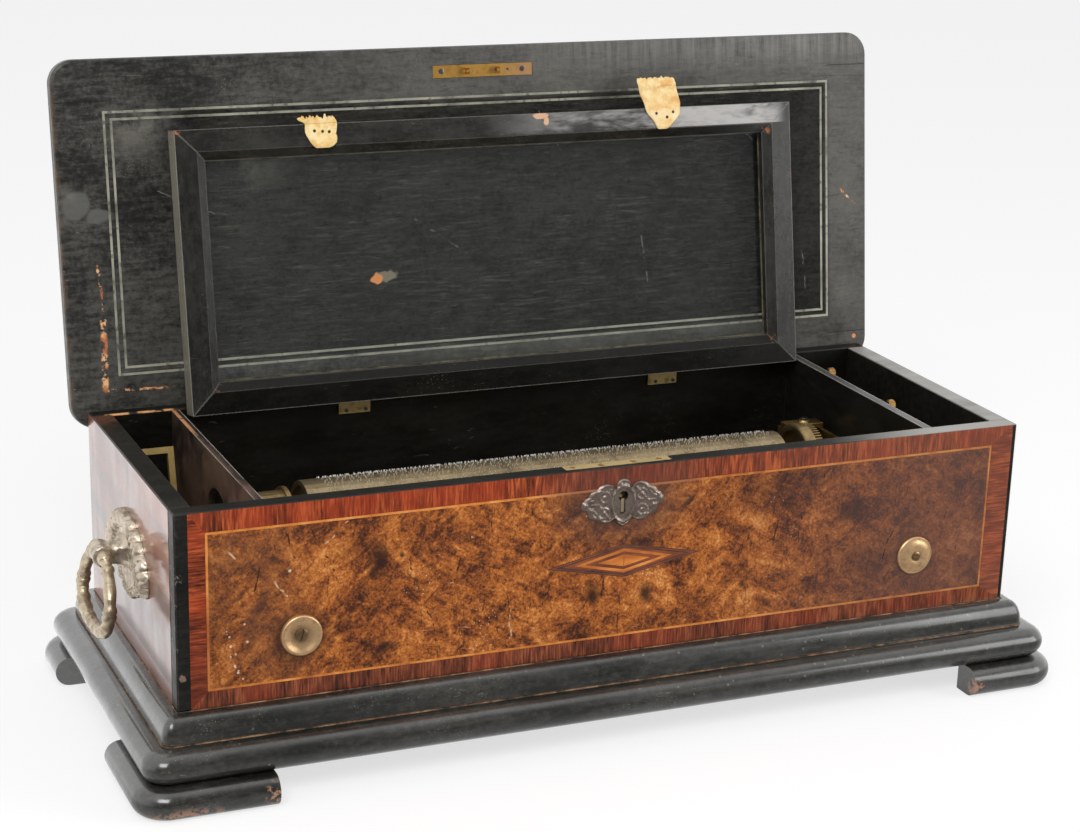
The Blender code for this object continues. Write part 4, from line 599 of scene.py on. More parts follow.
def dim_front(tree, coordinate, low, high, dim, bright):
    """A grey that is dim on the side of the camera and bright behind the object."""
    place = add_node(tree, "ShaderNodeTexCoord").outputs[coordinate]
    depth = add_node(tree, "ShaderNodeSeparateXYZ", [place]).outputs["Y"]
    grade = {"Value": depth, "From Min": low, "From Max": high, "To Min": dim, "To Max": bright}
    return add_node(tree, "ShaderNodeMapRange", grade, interpolation_type='SMOOTHSTEP').outputs["Result"]


def cleared(owner):
    """The emptied node tree of a world or a material."""
    owner.use_nodes = True
    owner.node_tree.nodes.clear()
    return owner.node_tree


def studio_world():
    scene.world = bpy.data.worlds.new("studio")
    tree = cleared(scene.world)
    graded = dim_front(tree, "Generated", -0.75, -0.1, 0.16, 1.5)
    shades = [add_node(tree, "ShaderNodeBackground", [(grey, grey, grey), strength]).outputs[0]
              for grey, strength in ((0.8, 0.62), (0.8, graded), (1, 1))]
    add_node(tree, "ShaderNodeOutputWorld", [pick_by_ray(tree, *shades)])


def studio_floor():
    bm = bmesh.new()
    bmesh.ops.create_grid(bm, x_segments=1, y_segments=1, size=9)
    m = bpy.data.materials.new("floor")
    tree = cleared(m)
    lit, half = (add_node(tree, "ShaderNodeBsdfDiffuse", [(grey, grey, grey)]) for grey in (0.8, 0.42))
    glow, shiny = (add_node(tree, "ShaderNodeEmission", {"Strength": strength})
                   for strength in (0.66, dim_front(tree, "Object", -0.3, 0.1, 0.2, 1.35)))
    seen = add_node(tree, "ShaderNodeAddShader", [half.outputs[0], glow.outputs[0]])
    picked = pick_by_ray(tree, *[made.outputs[0] for made in (lit, shiny, seen)])
    add_node(tree, "ShaderNodeOutputMaterial", [picked])
    finish_mesh("floor", bm, m, smooth=False)


def surroundings():
    studio_world()
    studio_floor()
    area("key", (-1.3, -2.1, 2.3), (0, 0, 0.1), (1.6, 1.2), 46)
    area("fill", (1.9, -1.6, 0.9), (0, 0, 0.15), (1.2, 1.2), 18)
    scene.view_settings.view_transform = 'Standard'


# Front veneers: boxes and marks as x and z on the front
string_width = 1.6
string_box = (-289.8, 11.8, 289.8, 120)
burl_box = inset(string_box, string_width)
band_box = (-301, 0.6, 306.6, 133.6)
keyhole_x = -1
washer_places = {"left": -227.3, "right": 232}
washer_z = 43
# Dark knots: place, radius, squash across and up, strength
knots = ((-186, 97, 26, 1, 1.6, 0.3), (-173.6, 88, 10, 1, 0.6, 0.9), (-179, 80, 5, 1, 0.7, 0.8),
         (-158.7, 90.7, 3.2, 1, 1, 0.85), (-154, 74, 4, 1.6, 0.5, 0.5), (-20.1, 42.8, 8, 1, 0.8, 0.9),
         (19, 41, 8.5, 1, 0.8, 0.9), (-22, 50, 7, 1.3, 0.5, 0.5), (-168.5, 26.4, 8, 0.7, 1.3, 0.8),
         (177.6, 83.4, 15, 0.8, 1, 0.7), (226, 62, 22, 1, 0.8, 0.4), (266, 88.7, 9, 1.3, 0.8, 0.45),
         (-300, 60, 60, 1, 1, 0.3), (120, 104, 46, 0.6, 1.7, 0.35), (200, 40, 40, 0.7, 1.4, 0.3),
         (-240, 28, 22, 1, 1, 0.35), (-232, 43, 20, 1, 1, 0.35), (232, 43, 20, 1, 1, 0.25))
cracks = ((-219.9, 114.3, -208.3, 92.2), (-208.3, 92.2, -202.5, 76.6), (-117.3, 82.7, -120, 72),
          (-120, 72, -122.5, 60.8), (-66, 59, -67.5, 28), (0, 49, -2, 8), (-154, 86, -148, 68),
          (-15.8, 53.9, -28.5, 35.8), (-52, 62, -58, 40), (-98, 66, -101, 44), (214, 66, 205, 44),
          (-238, 118, -231, 96), (120, 88, 117, 66), (-254, 96, -259, 72), (-140, 52, -134, 26))
scratches = ((-213, 101.7, -203, 110), (-203, 110, -195.5, 117.4), (-244.7, 81.8, -236.1, 70.3),
             (-277.1, 109.3, -271.6, 99.9), (-81.4, 39.8, -80.9, 19.5), (-110, 96, -107, 88))
speck_trail = ((-278.5, 54.7, -274.5, 40), (-274.5, 40, -266.8, 16), (-266, 55, -262, 43))


def front_burl():
    m = Mat("burr_walnut_front", rough=0.36, coat=0.1, coat_rough=0.12, spec=0.35)
    level = walnut(m)
    wander = m.sway(90, 0.007)
    for x, z, radius, wide, tall, amount in knots:
        m.over((40, 21, 14), m.spot(front(x, z), radius, 0.85, (wide, 1, tall), wander), amount)
    rings = m.most(m.spot(front(-227, 42), 27, 0.5, vec=wander),
                   m.times(m.spot(front(232, washer_z), 22, 0.4, vec=wander), 0.5))
    m.over((52, 32, 24), rings, 0.55)
    m.over((74, 53, 47), m.spot(front(keyhole_x, 108), 54, 0.7, (0.75, 1, 1.25), wander), 0.72)
    across = m.dot(X)
    # Painted reflection: the right part of the burl toned down to a purple-brown and hazed pale, as glare
    right = m.step(across, 0.04, 0.26)
    m.over((170, 160, 174), right, 0.9, mode='MULTIPLY')
    m.over((124, 98, 92), right, 0.3)
    m.over((96, 62, 44), m.under(across, -0.28, -0.2), m.blots(0.36, 0.6, 18, 3, 0.6), 0.6)
    fissure = m.times(m.blots(0.665, 0.7, 120, 3, 0.5, 0.9, stretch=(4, 1, 0.6)),
                      m.blots(0.44, 0.56, 15, 2))
    slant = m.times(m.blots(0.68, 0.71, 90, 3, 0.5, 0.8, vec=m.mapped(rot=(0, 0.9, 0)),
                            stretch=(0.6, 1, 4)), m.blots(0.5, 0.6, 12, 2), 0.8)
    m.over((34, 20, 15), m.most(m.lines(front, cracks, 0.75, wander),
                                m.times(m.most(fissure, slant), 0.9)), 0.85)
    pale = m.times(m.lines(front, scratches, 1, wander), m.blots(0.4, 0.5, 160, 2))
    hair = m.times(m.blots(0.71, 0.735, 95, 2, 0.5, 0.9, stretch=(1, 1, 5)), m.blots(0.53, 0.62, 11, 2), 0.7)
    m.over((216, 178, 142), m.most(pale, hair), 0.8)
    trail = m.times(m.lines(front, speck_trail, 3), m.under(m.cells(330), 0.26, 0.36))
    dots = m.specks(300, 0.16, m.blots(0.64, 0.72, 13, 2))
    m.over((226, 200, 178), m.most(dots, trail, m.spot(front(-234.5, 87.9), 1.4)), 0.8)
    m.set("Roughness", m.ramp(level, (0.42, 0.42), (0.58, 0.3)))
    m.bump(level, 0.05, 0.0004)
    return m.made()


def crossbanding(thick):
    """The four mitred bands, whose lines run from the edge towards the middle."""
    tones = ((66, 23, 11), (134, 54, 23), (196, 96, 46))
    low_tones = ((56, 30, 18), (112, 54, 32), (156, 86, 52))
    outlines = strips(front, band_box, inset(string_box, -0.2))
    for name, axis, outline in zip(("bottom", "right", "top", "left"), "ZXZX", outlines):
        m = rosewood(f"kingwood_{name}", axis, low_tones if name == "bottom" else tones, bands=760,
                     rough=0.24, coat=0.08, coat_rough=0.07)
        red = m.blots(0.46, 0.62, 24, 3, 0.6, stretch=grain(axis, 0.3, 1))
        m.over((172, 56, 24), red, 0.18 if name in ("bottom", "right") else 0.38)
        # Painted sheen: a pale grey-pink haze over the right part of the top and right bands
        if name in ("top", "right"):
            m.over((118, 84, 70), m.step(m.dot(X), -0.02, 0.25), 0.4)
        if name == "left":
            m.over((84, 34, 20), m.spot(front(-296, 10), 62, 0.8), 0.55)
        if name == "top":
            m.over((84, 56, 48), m.spot(front(2, 122), 62, 0.6, (0.8, 1, 1.6)), 0.55)
        slabs(f"front_crossbanding_{name}", m.made(), "case", "burl", [outline], thick)


def keyhole_in_burl():
    """The burl's outline: round its box, and in from the top to go round the keyhole."""
    low_x, low_z, high_x, high_z = burl_box
    radius, middle_z, open_angle, steps = 3.8, 113.6, 2.62, 8
    bow = [(keyhole_x + radius * sin(a), middle_z - radius * cos(a))
           for a in (pi - open_angle * i / steps for i in range(steps + 1))]
    hole = bow + [(1, 102), (0.4, 100.6), (-2.4, 100.6), (-3, 102)]
    hole += [(2 * keyhole_x - x, z) for x, z in bow[:0:-1]]
    back = keyhole_x - 0.01
    return [(keyhole_x, high_z), *hole, (back, middle_z + radius - 0.01), (back, high_z), (low_x, high_z),
            (low_x, low_z), (high_x, low_z), (high_x, high_z)]


def front_veneers():
    thick = Vector((0, -veneer * mm, 0))
    slabs("front_burl_field", front_burl(), "case", "burl", [[front(*p) for p in keyhole_in_burl()]], thick)
    m = Mat("boxwood_stringing", rough=0.3, coat=0.2)
    m.col = m.ramp(m.noise(60, 4, 0.7), (0.33, (168, 92, 34)), (0.5, (214, 128, 50)),
                   (0.68, (232, 156, 82)))
    m.over((150, 76, 40), m.spot(front(-289, 40), 52, 0.7), 0.6)
    # Duller over a stain at the top middle, and towards the right as a painted sheen
    stain_and_sheen = m.most(m.times(m.step(m.dot(X), 0.02, 0.22), 0.45),
                  m.times(m.spot(front(2, 120), 60, 0.5, (0.8, 1, 1.6)), 0.75))
    m.over((134, 88, 66), stain_and_sheen)
    slabs("front_stringing", m.made(), "case", "burl", strips(front, string_box, burl_box), thick)
    crossbanding(thick)
    lozenge(thick)


def lozenge(base):
    """Nested rhombus inlay: dark double border, orange bands, dark line, bright middle."""
    cx, cz = 1.5, 66.7
    dark = mottled("inlay_dark", ((0.36, (52, 36, 32)), (0.64, (92, 64, 52))), 120, 4, 0.6,
                   rough=0.34, coat=0.2)
    rust = mottled("inlay_tulipwood", ((0.36, (98, 48, 30)), (0.62, (150, 78, 40))), 90, 4, 0.6,
                   stretch=(0.35, 1, 1.4), rough=0.34, coat=0.2)
    warm = mottled("inlay_satinwood", ((0.34, (168, 88, 34)), (0.5, (208, 122, 48)), (0.66, (234, 154, 74))),
                   60, 5, 0.65, 0.4, stretch=(0.3, 1, 1.6), rough=0.3, coat=0.25)
    layers = ((57.5, 12, dark), (54.5, 11.3, rust), (50.5, 10.5, dark), (46, 9.6, rust), (36.5, 8.6, warm),
              (28.6, 6.4, dark), (27.4, 6.1, rust), (19.5, 4.2, warm))
    thick = Vector((0, -0.025 * mm, 0))
    for i, (a, b, made) in enumerate(layers):
        ends = [(cx - a, cz), (cx, cz - b), (cx + a, cz), (cx, cz + b)]
        slabs(f"lozenge_{i}", made, "case", "burl", [[front(*p) + base + thick * i for p in ends]], thick)
    middle = corners(cx - 0.2, cz - 4.8, cx + 0.2, cz + 4.8)
    joint = [front(*p) + base + thick * len(layers) for p in middle]
    slabs("lozenge_joint", rust, "case", "burl", [joint], thick * 0.5)


# Ends
def end_veneers():
    tones = ((72, 32, 20), (126, 62, 38), (166, 94, 62))
    for side, sign in sides:
        x = sign * half_width
        m = rosewood(f"rosewood_{side}_end", "Y", tones, bands=75, rough=0.34, coat=0.8, coat_rough=0.09)
        dull = m.blots(0.4, 0.64, 34, 4, 0.65, 0.3, stretch=(1, 1.2, 0.4))
        m.set("Coat Weight", m.math('ADD', 0.62, m.times(dull, 0.3)))
        # Painted reflection and shade: darker red-brown mottles, one beside the handle where it reflects,
        # one high towards the back
        shade = m.most(m.spot(in_case(x, 20, 60), 74, 0.7, (1, 1, 0.8)),
                       m.spot(in_case(x, 90, 120), 60, 0.8))
        m.over((84, 28, 16), shade, m.blots(0.36, 0.6, 24, 3, 0.6), 0.7)
        outline = [in_case(x, y, z) for y, z in corners(-103, 0.6, 114.8, 133.4)]
        thick = Vector((sign * veneer * mm, 0, 0))
        slabs(f"{side}_end_veneer", m.made(), "case", "rosewood", [outline], thick)


# Plinth and feet, with rounder mouldings than the plain solids
corner_radius = 16
widest = 28
foot_out = 35


def bullnose(low, high, outer, steps=14):
    """Half round moulding section as (distance out, height), from the top round to the bottom."""
    radius = (high - low) / 2
    return [(outer - radius + radius * cos(a), low + radius + radius * sin(a))
            for a in (pi / 2 - pi * i / steps for i in range(steps + 1))]


def around(out, z, radius, steps=12):
    """A level outline with round corners that stands out from the case's walls."""
    places = []
    for sx, sy, start in ((1, -1, -pi / 2), (1, 1, 0), (-1, 1, pi / 2), (-1, -1, pi)):
        for a in (start + pi / 2 * i / steps for i in range(steps + 1)):
            places.append(in_case(sx * (half_width + out - radius) + radius * cos(a),
                                  sy * (wall_to_front + out - radius) + radius * sin(a), z))
    return places


def moulded(name, profile, material):
    """A slab with a moulded edge, which stands for the plain solid of the same name."""
    bm = bmesh.new()
    skin(bm, [around(out, z, max(corner_radius - (widest - out) * 0.6, 0.05)) for out, z in profile])
    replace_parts(finish_mesh("fine_" + name, bm, material, "case", "ebonised", angle=40), name)


def bottom_wear(m):
    ends = m.most(m.spot(in_case(-253, -150, -50), 12, 0.6), m.spot(in_case(272, -148, -54), 10, 0.6),
                  m.spot(in_case(344, -145, -48), 7, 0.6),
                  m.spot(in_case(-314, -150, -62), 20, 0.6, (0.5, 1, 1.6)))
    m.over((178, 128, 96), ends, m.blots(0.48, 0.55, 130, 4, 0.7), 0.85)


def pale_spots(m):
    m.over((126, 124, 114), m.specks(130, 0.15, m.blots(0.46, 0.56, 8, 2)), 0.55)


def plinth():
    # line sets the strength of the painted highlight along the arrises
    dark = dict(black=26, grey=62, rough=0.28, dust=1, wear=0.5, spec=0.7, line=0.3, coat=0.75)
    made = ebonised("ebonised_plinth", extra=pale_spots, **dark)
    feet = ebonised("ebonised_feet", extra=bottom_wear, **dark)
    quarter = [pi / 2 * i / 12 for i in range(13)]
    ovolo = [(4 + 9 * sin(a), -0.3 - 15.6 * (1 - cos(a))) for a in quarter]
    moulded("plinth_upper_moulding", ovolo + [(13, -16.6), (12, -17.2), (12, -18)], made)
    moulded("plinth_lower_moulding", bullnose(-40.3, -18.3, widest), made)
    for end, sy in (("front", -1), ("rear", 1)):
        for side, sx in sides:
            foot(f"foot_{end}_{side}", sx, sy, feet)
    line = mottled("joint_dust", ((0.36, (44, 38, 32)), (0.5, (112, 80, 56)), (0.66, (158, 124, 92))),
                   90, 3, 0.7, rough=0.8)
    bm = bmesh.new()
    for radius, steps, section in ((0.6, 3, ((0.2, -0.25), (0.8, -0.25), (0.2, 0.3))),
                                   (6.8, 8, ((11.8, -18.2), (13.1, -18.2), (11.8, -17.3)))):
        skin(bm, [around(out, z, radius, steps) for out, z in section], closed=True)
    finish_mesh("plinth_joint_dust", bm, line, "case", "ebonised", smooth=False)


def foot(name, sx, sy, material):
    """A bullnosed bracket foot, mitred round the corner."""
    top, high, depth, steps = -40.6, 21, 24, 12
    length_front = {(-1, -1): 93, (1, -1): 74}.get((sx, sy), 100)
    length_side = 94 if sy < 0 else 58
    section = bullnose(top - high, top, depth) + [(0, top - high), (0, top)]
    far_x, far_y = half_width + foot_out, wall_to_front + foot_out
    stations = [(far_x - length_front, far_y - depth, pi / 2)]
    stations += [(far_x - depth, far_y - depth, pi / 2 * (1 - i / steps)) for i in range(steps + 1)]
    stations += [(far_x - depth, far_y - length_side, 0)]
    bm = bmesh.new()
    skin(bm, [[in_case(sx * (x + out * cos(a)), sy * (y + out * sin(a)), z) for out, z in section]
              for x, y, a in stations])
    bmesh.ops.remove_doubles(bm, verts=bm.verts, dist=0.001 * mm)
    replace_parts(finish_mesh("fine_" + name, bm, material, "case", "ebonised", angle=40), name)


# Escutcheon
def both_sides(*lobes):
    """Lobes, each as (across, up, radius), on the left and on the right."""
    return [(turn * u, v, radius) for turn in (-1, 1) for u, v, radius in lobes]


escutcheon_lobes = [(0, 2, 10), (0, -3.6, 9.4), (0, 11.4, 5.4), (0, -11, 5), (0, -14.4, 2.4)]
escutcheon_lobes += both_sides((12.6, 5.4, 8.6), (13.4, -5.4, 8.4), (19.2, 3.4, 6.9), (19.4, -4, 6.7),
                               (24.2, 0.6, 5.4), (27.4, 0, 3.4))
keyhole_lobes = [(0, 4.6, 3.6), (0, 1.6, 1.9), (0, -0.4, 1.9), (0, -2.4, 1.9), (0, -4.4, 2), (0, -6.2, 2.1)]


def escutcheon_height(u, v, t):
    side = abs(u)
    oval = math.hypot(u / 8.6, (v + 0.8) / 12.6)
    h = 0.7 + 0.9 * ridge(oval - 1, 0.1)
    if oval > 1:
        h += 0.75 * ridge(t - 0.9, 0.055)
        for cu, cv in ((13.8, 4.8), (14.2, -6.4)):
            away = math.hypot(side - cu, v - cv)
            h += 0.6 * ridge(away - 3.7, 0.8) + 0.6 * hump(side, v, cu, cv, 1.5)
        for cu, cv, r in ((27.4, 0.2, 1.8), (23.4, 3.2, 1.3), (23, -3, 1.3)):
            h += 0.9 * hump(side, v, cu, cv, r)
        for path in (((17, 9.5), (20.6, 5), (25, 1.6)), ((17.4, -10), (20.8, -5), (25.4, -1.6)),
                     ((9.6, 10), (18.4, 0), (10, -11)), ((19, 0), (24, 0))):
            h += 0.5 * ridge(beside(side, v, path)[0], 0.8)
        petal = cos(5 * math.atan2(v - 11.4, u))
        h += 0.8 * hump(u, v, 0, 11.4, 4.6) * (0.7 + 0.3 * petal)
        h += 0.6 * hump(u, v, 0, -13.4, 2.4)
    else:
        h += 0.25 * oval
    return (h + 0.12 * noise.noise(Vector((u, v, 0)) * 0.9)) * min(1, 0.45 + (1 - t) / 0.06)


def escutcheon():
    middle_z, off_veneer, pin_y, strip_y = 108.8, 0.1, -107, -113.4
    bronze = brass("escutcheon_bronze", (158, 143, 132), (76, 60, 50), 0.38, 0.7, scale=90, pits=0.6,
                   metal=0.85)

    def place(u, v, h):
        return in_case(keyhole_x + u, front_y - veneer - off_veneer - h, middle_z + v)

    plate = relief("escutcheon_relief", place, (31, 17), keyhole_lobes, escutcheon_lobes,
                   escutcheon_height, (46, 260), bronze, "pewter")
    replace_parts(plate, "escutcheon")
    bm = bmesh.new()
    pin = [(1.5, -0.2), (1.5, 4), (1.1, 4.5)]
    lathe(bm, pin, in_case(keyhole_x, pin_y, middle_z + 3.4), outward, 20)
    strip = [in_case(x, strip_y, z) for x, z in corners(-1.3, 101, 1.2, 110.6)]
    slab(bm, strip, Vector((0, 0.9 * mm, 0)))
    pale = brass("lock_pin_brass", (236, 214, 176), (176, 140, 96), 0.4, metal=0.6)
    finish_mesh("lock_pin", bm, pale, "case", "brass")


# Handles
limb = ((0, 26), (10, 25.5), (21, 21.5), (31, 14), (38.5, 5), (42.5, -6))
handle_lobes = [(0, 0, 18), (0, 10, 20)]
handle_lobes += both_sides((4, 25.5, 4.6), (13, 23.5, 6.4), (23, 18.5, 7.6), (31, 12.5, 8.2),
                           (37.5, 5.5, 8.6), (42, -2, 8), (44, -9, 6), (14, -10, 11), (7, -22, 6.2),
                           (17, -17.5, 6.4), (27, -11, 6.4), (2.6, -26, 3.6))
handle_z = 67
pivot_out, pivot_z = 20, 71
bail_lean = math.radians(8)
bail_route = ((13.1, 0), (17.5, -2.6), (26, -9), (33.5, -18), (37.6, -29), (35, -40), (22, -47.6), (0, -50))


def handle_height(u, v, t):
    side = abs(u)
    h = 2.2 + 1 * hump(side, v, 0, 0, 30)
    away, run = beside(side, v, limb)
    if away < 8.5:
        rib = 0.8 + 0.2 * abs(sin(pi * (run - 18) / 5.2)) if run > 18 else 1 - 0.14 * ridge(side - 4, 2)
        h = max(h, (7.2 if run > 18 else 6.2) * math.sqrt(1 - (away / 8.5) ** 2) * rib)
    for cu, cv, r, high in ((44, -9.5, 5.4, 7.4), (7, -22, 6, 4.4), (17, -17.5, 6.4, 4.6),
                            (27, -11, 6.4, 4.6), (2, -26, 3.6, 3.6), (15, 9, 6.5, 4.4),
                            (24, 2, 6, 4.4), (12, -4, 5, 3.8)):
        vein = 0.86 + 0.14 * cos(math.atan2(v - cv, side - cu) * 7)
        h = max(h, high * hump(side, v, cu, cv, r) * vein)
    if math.hypot(u, v - 4) < 13:
        h = max(h, 4.2 * hump(u, v, 0, 4, 13))
    h += 0.35 * noise.noise(Vector((u, v, 3)) * 0.45)
    return h * min(1, 0.4 + (1 - t) / 0.08)


def handles():
    plate = brass("handle_plate_brass", (200, 187, 168), (92, 74, 54), scale=120, pits=0.75, metal=0.9,
                  cast=0.55)
    bar = brass("handle_bail_brass", (194, 179, 154), (90, 72, 50), scale=90, pits=0.7, metal=0.9, cast=0.4)
    for side, sign in sides:
        def place(u, v, h):
            return in_case(sign * (half_width + 0.3 + h), u, handle_z + v)

        back = relief(f"handle_{side}_relief", place, (53, 30), [(0, 0, 0.2)], handle_lobes, handle_height,
                      (44, 280), plate, "pale_brass")
        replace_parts(back, f"handle_{side}_backplate")
        handle_boss(side, sign, plate)
        bail(side, sign, bar)


def handle_boss(side, sign, material):
    """The block that carries the bail: a waisted neck from the plate to a barrel on the axis."""
    def bulge(a):
        return (abs(cos(a)) ** 4 + abs(sin(a)) ** 4) ** -0.25

    bm = bmesh.new()
    skin(bm, [[in_case(sign * (half_width + out), half_y * cos(a) * bulge(a),
                       pivot_z + half_z * sin(a) * bulge(a))
               for a in turns(24)]
              for out, half_y, half_z in ((3, 13, 11), (6.5, 9.6, 8.6), (10, 8.2, 7.4), (15, 8.2, 6.9),
                                          (20, 8.4, 6.6))])
    radius = 7.6
    profile = [(radius * share, high) for share, high in
               ((0.82, -9), (0.97, -8.2), (1, -7), (0.93, -6), (0.93, 6), (1, 7), (0.97, 8.2), (0.82, 9))]
    lathe(bm, profile, in_case(sign * (half_width + pivot_out), 0, pivot_z), Y, 32)
    finish_mesh(f"handle_{side}_boss", bm, material, "case", "pale_brass", angle=40)


def bail_radius(t, a):
    """Bell at the axis, waist, ring, swelling leg, double ring and a foot with cast leaves."""
    t = min(t, 1 - t) * 2
    stops = ((0, 5.4), (0.05, 5.2), (0.12, 3.6), (0.17, 3.3), (0.19, 4.6), (0.215, 4.7), (0.235, 3.7),
             (0.4, 4.4), (0.52, 3.9), (0.545, 4.9), (0.565, 4.9), (0.58, 4.3), (0.6, 5), (0.62, 5),
             (0.645, 4.2), (0.8, 5), (1, 4.6))
    leaves = 0.95 + 0.1 * sin(t * 75 + 1.2 * cos(2 * a)) * abs(cos(a * 2)) if t >= 0.65 else 1
    for (t0, r0), (t1, r1) in zip(stops, stops[1:]):
        if t <= t1:
            f = (t - t0) / (t1 - t0)
            return (r0 + (r1 - r0) * f * f * (3 - 2 * f)) * leaves
    return stops[-1][1] * leaves


def bail(side, sign, material):
    x = sign * (half_width + pivot_out)
    route = [(-y, z) for y, z in bail_route[:-1]] + list(bail_route[::-1])
    path = [in_case(x - sign * z * sin(bail_lean), y, pivot_z + z * cos(bail_lean)) for y, z in route]
    bm = bmesh.new()
    sweep(bm, smooth_path(path, 120), bail_radius, 20)
    lathe(bm, [(1.9, -15), (1.9, 15)], in_case(x, 0, pivot_z), Y, 16)
    bell = [(3, 9.4), (5.4, 9.5), (5.6, 10.6), (5, 13), (3.6, 16.4), (1.2, 17.4)]
    for turn in (-1, 1):
        lathe(bm, bell, in_case(x, 0, pivot_z), (0, turn, 0), 28)
    ob = finish_mesh(f"handle_{side}_bail_cast", bm, material, f"{side}_bail", "pale_brass", angle=45)
    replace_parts(ob, f"handle_{side}_bail")


# Case walls and floor: the solids that keep their CAD shape
def high_up(m, low, high):
    """1 above a height of the case."""
    return m.step(m.dot(Z), in_case(0, 0, low).z, in_case(0, 0, high).z)


def case_marks(m):
    # Painted glare: a pale haze along the top of the rim, on the right
    glare = m.times(high_up(m, 133.2, 133.8), m.step(m.dot(X), 0.16, 0.25),
                    m.blots(0.05, 0.5, 22, 3, 0.6, stretch=(0.4, 1, 1)))
    m.over((176, 172, 166), glare, 0.85)
    m.over((122, 76, 54), m.spot(in_case(-300, 104, 134), 26, 0.6, (1.2, 0.8, 2)),
           m.blots(0.4, 0.6, 60, 4, 0.6), 0.6)
    rubbed = m.spot(front(-309.6, 80), 50, 0.4, (9, 1, 1), m.sway(300, 0.003))
    m.over((128, 122, 116), rubbed, m.blots(0.55, 0.63, 150, 4, 0.7), 0.6)
    m.over((132, 108, 94), m.spot(front(-306, 23.2), 2.6, 0.3, (1.1, 1, 0.9), m.sway(400, 0.003)), 0.8)


def back_marks(m):
    """The bare line along the rim of the back wall, over the winding compartment."""
    m.over((228, 168, 112), high_up(m, 132.6, 133.6), m.within(m.dot(X), -0.3, -0.252, 0.002),
           m.under(m.dot(Y), in_case(0, 105.6, 0).y, in_case(0, 106.6, 0).y), m.blots(0.38, 0.48, 90, 3))


def inner_marks(m):
    # Painted reflection: brown-pink over everything left of the left partition, and a paler patch on the
    # partition towards the front
    m.over((128, 100, 84), m.under(m.dot(X), -0.256, -0.246), m.blots(0.3, 0.6, 26, 4, 0.6), 0.85)
    m.over((168, 128, 114), m.spot(in_case(-250, -60, 104), 60, 0.8, (1, 1, 1.3)),
           m.blots(0.36, 0.6, 30, 4, 0.6), 0.6)


def partition_marks(m):
    top = high_up(m, 132.6, 133)
    inner_marks(m)
    # Painted sheen: the tops of the partitions lighter grey on the right
    m.over((96, 94, 90), top, m.step(m.dot(X), 0.2, 0.22), 0.5)
    # Painted highlight: bright lines along the arrises of the partition tops
    m.over((216, 212, 204), top, m.edge(0.0014, 0.01, 0.08),
           m.blots(0.28, 0.45, 30, 3, 0.6, stretch=(1, 0.4, 1)), 0.9)
    m.over((224, 158, 104), top, m.step(m.dot(Y), in_case(0, 20, 0).y, in_case(0, 70, 0).y),
           m.under(m.dot(X), -0.251, -0.25), m.blots(0.34, 0.42, 70, 3), 0.9)


def wooden_nodes():
    give(ebonised("ebonised_case", black=20, grey=40, wear=0.45, spec=0.3, extra=case_marks),
         "case_front", "case_left_end", "case_right_end")
    give(ebonised("ebonised_back", black=11, grey=24, spec=0.3, extra=back_marks), "case_back")
    give(ebonised("ebonised_floor", black=18, grey=34, wear=0, dust=0.6, extra=inner_marks),
         "case_bottom_board", "right_compartment_ledge")
    give(ebonised("ebonised_partition", "Y", black=16, grey=30, wear=0.3, dust=0.3, extra=partition_marks),
         "left_partition", "right_partition")


# Metalwork that keeps its CAD shape
def metal_nodes():
    give(brass("brass_bright", (234, 202, 130), (150, 116, 62), 0.36, 0.4, scale=70, metal=0.85),
         "winding_lever")
    give(brass("brass_knobs", (186, 142, 86), (104, 72, 40), 0.36, scale=120),
         "start_stop_lever", "change_repeat_lever")
    give(brass("brass_lock", (240, 214, 158), (168, 136, 84), 0.42, 0.4, scale=60, metal=0.8), "lock_case")
    leaves = ("lid_hinge_{}_case_leaf", "lid_hinge_{}_lid_leaf", "glass_hinge_{}_case_leaf",
              "glass_hinge_{}_frame_leaf")
    give(brass("brass_hinges", (208, 186, 128), (104, 84, 50), 0.44, 0.6, scale=60, metal=0.85),
         *[leaf.format(side) for leaf in leaves for side, sign in sides])
    give(brass("brass_movement", (186, 156, 98), (104, 80, 46), 0.36, 0.55, scale=50), "comb_base",
         "cylinder_bridge_left", "cylinder_bridge_right", "winding_wheel", "winding_end_plate",
         "governor_frame", "governor_cock", "governor_first_wheel", "governor_worm_wheel")
    give(brass("brass_barrel", (170, 146, 104), (96, 76, 50), 0.4, 0.6, scale=50, brushed=(8, 1, 1)),
         "spring_barrel", "cylinder_great_wheel")
    give(brass("brass_cylinder", (160, 142, 110), (88, 76, 56), 0.44, 0.7, 34, (8, 1, 1), 0.5),
         "music_cylinder")
    give(brass("gilt_bedplate", (132, 108, 66), (70, 54, 34), 0.5, 0.7, 40), "bedplate")
    give(brass("plain_steel", (168, 168, 168), (96, 92, 88), 0.3, scale=60, brushed=(1, 6, 1)),
         "music_comb", "winding_pinion", "ratchet_click", "governor_endless_screw", "lock_bolt")
    keep_plate()


def keep_plate():
    m = Mat("keep_plate_brass", rough=0.36, metal=1)
    cloud = m.noise(60, 5, 0.65, 0.4)
    m.col = m.mix(m.times(m.step(cloud, 0.45, 0.7), 0.45), (214, 166, 88), (150, 104, 52))
    m.over((204, 158, 128), m.step(m.dot(X), 0.004, 0.034), 0.55)
    m.over((112, 76, 38), m.blots(0.58, 0.75, 260, 3), 0.5)
    m.set("Roughness", m.ramp(cloud, (0.3, 0.3), (0.75, 0.52)))
    m.bump(m.noise(200, 3, 0.6, stretch=(0.3, 1, 3)), 0.12, 0.0004)
    give(m.made(), "lock_keep_plate")


# Lid: the ebonised panel with its inlaid lines, wear, painted sheen and shade, and the veneered top
lid_wear = ((-296, 101, -293.6, 77), (-293.6, 77, -295.6, 12), (-295, 12.6, -240.8, 10.9),
            (296.5, 123, 309.8, 110))
lid_scratches = ((-250, 150, -210, 132), (-120, 190, -92, 168), (40, 196, 66, 150), (120, 120, 128, 60),
                 (200, 180, 238, 150), (262, 90, 266, 40), (-60, 120, -20, 92))


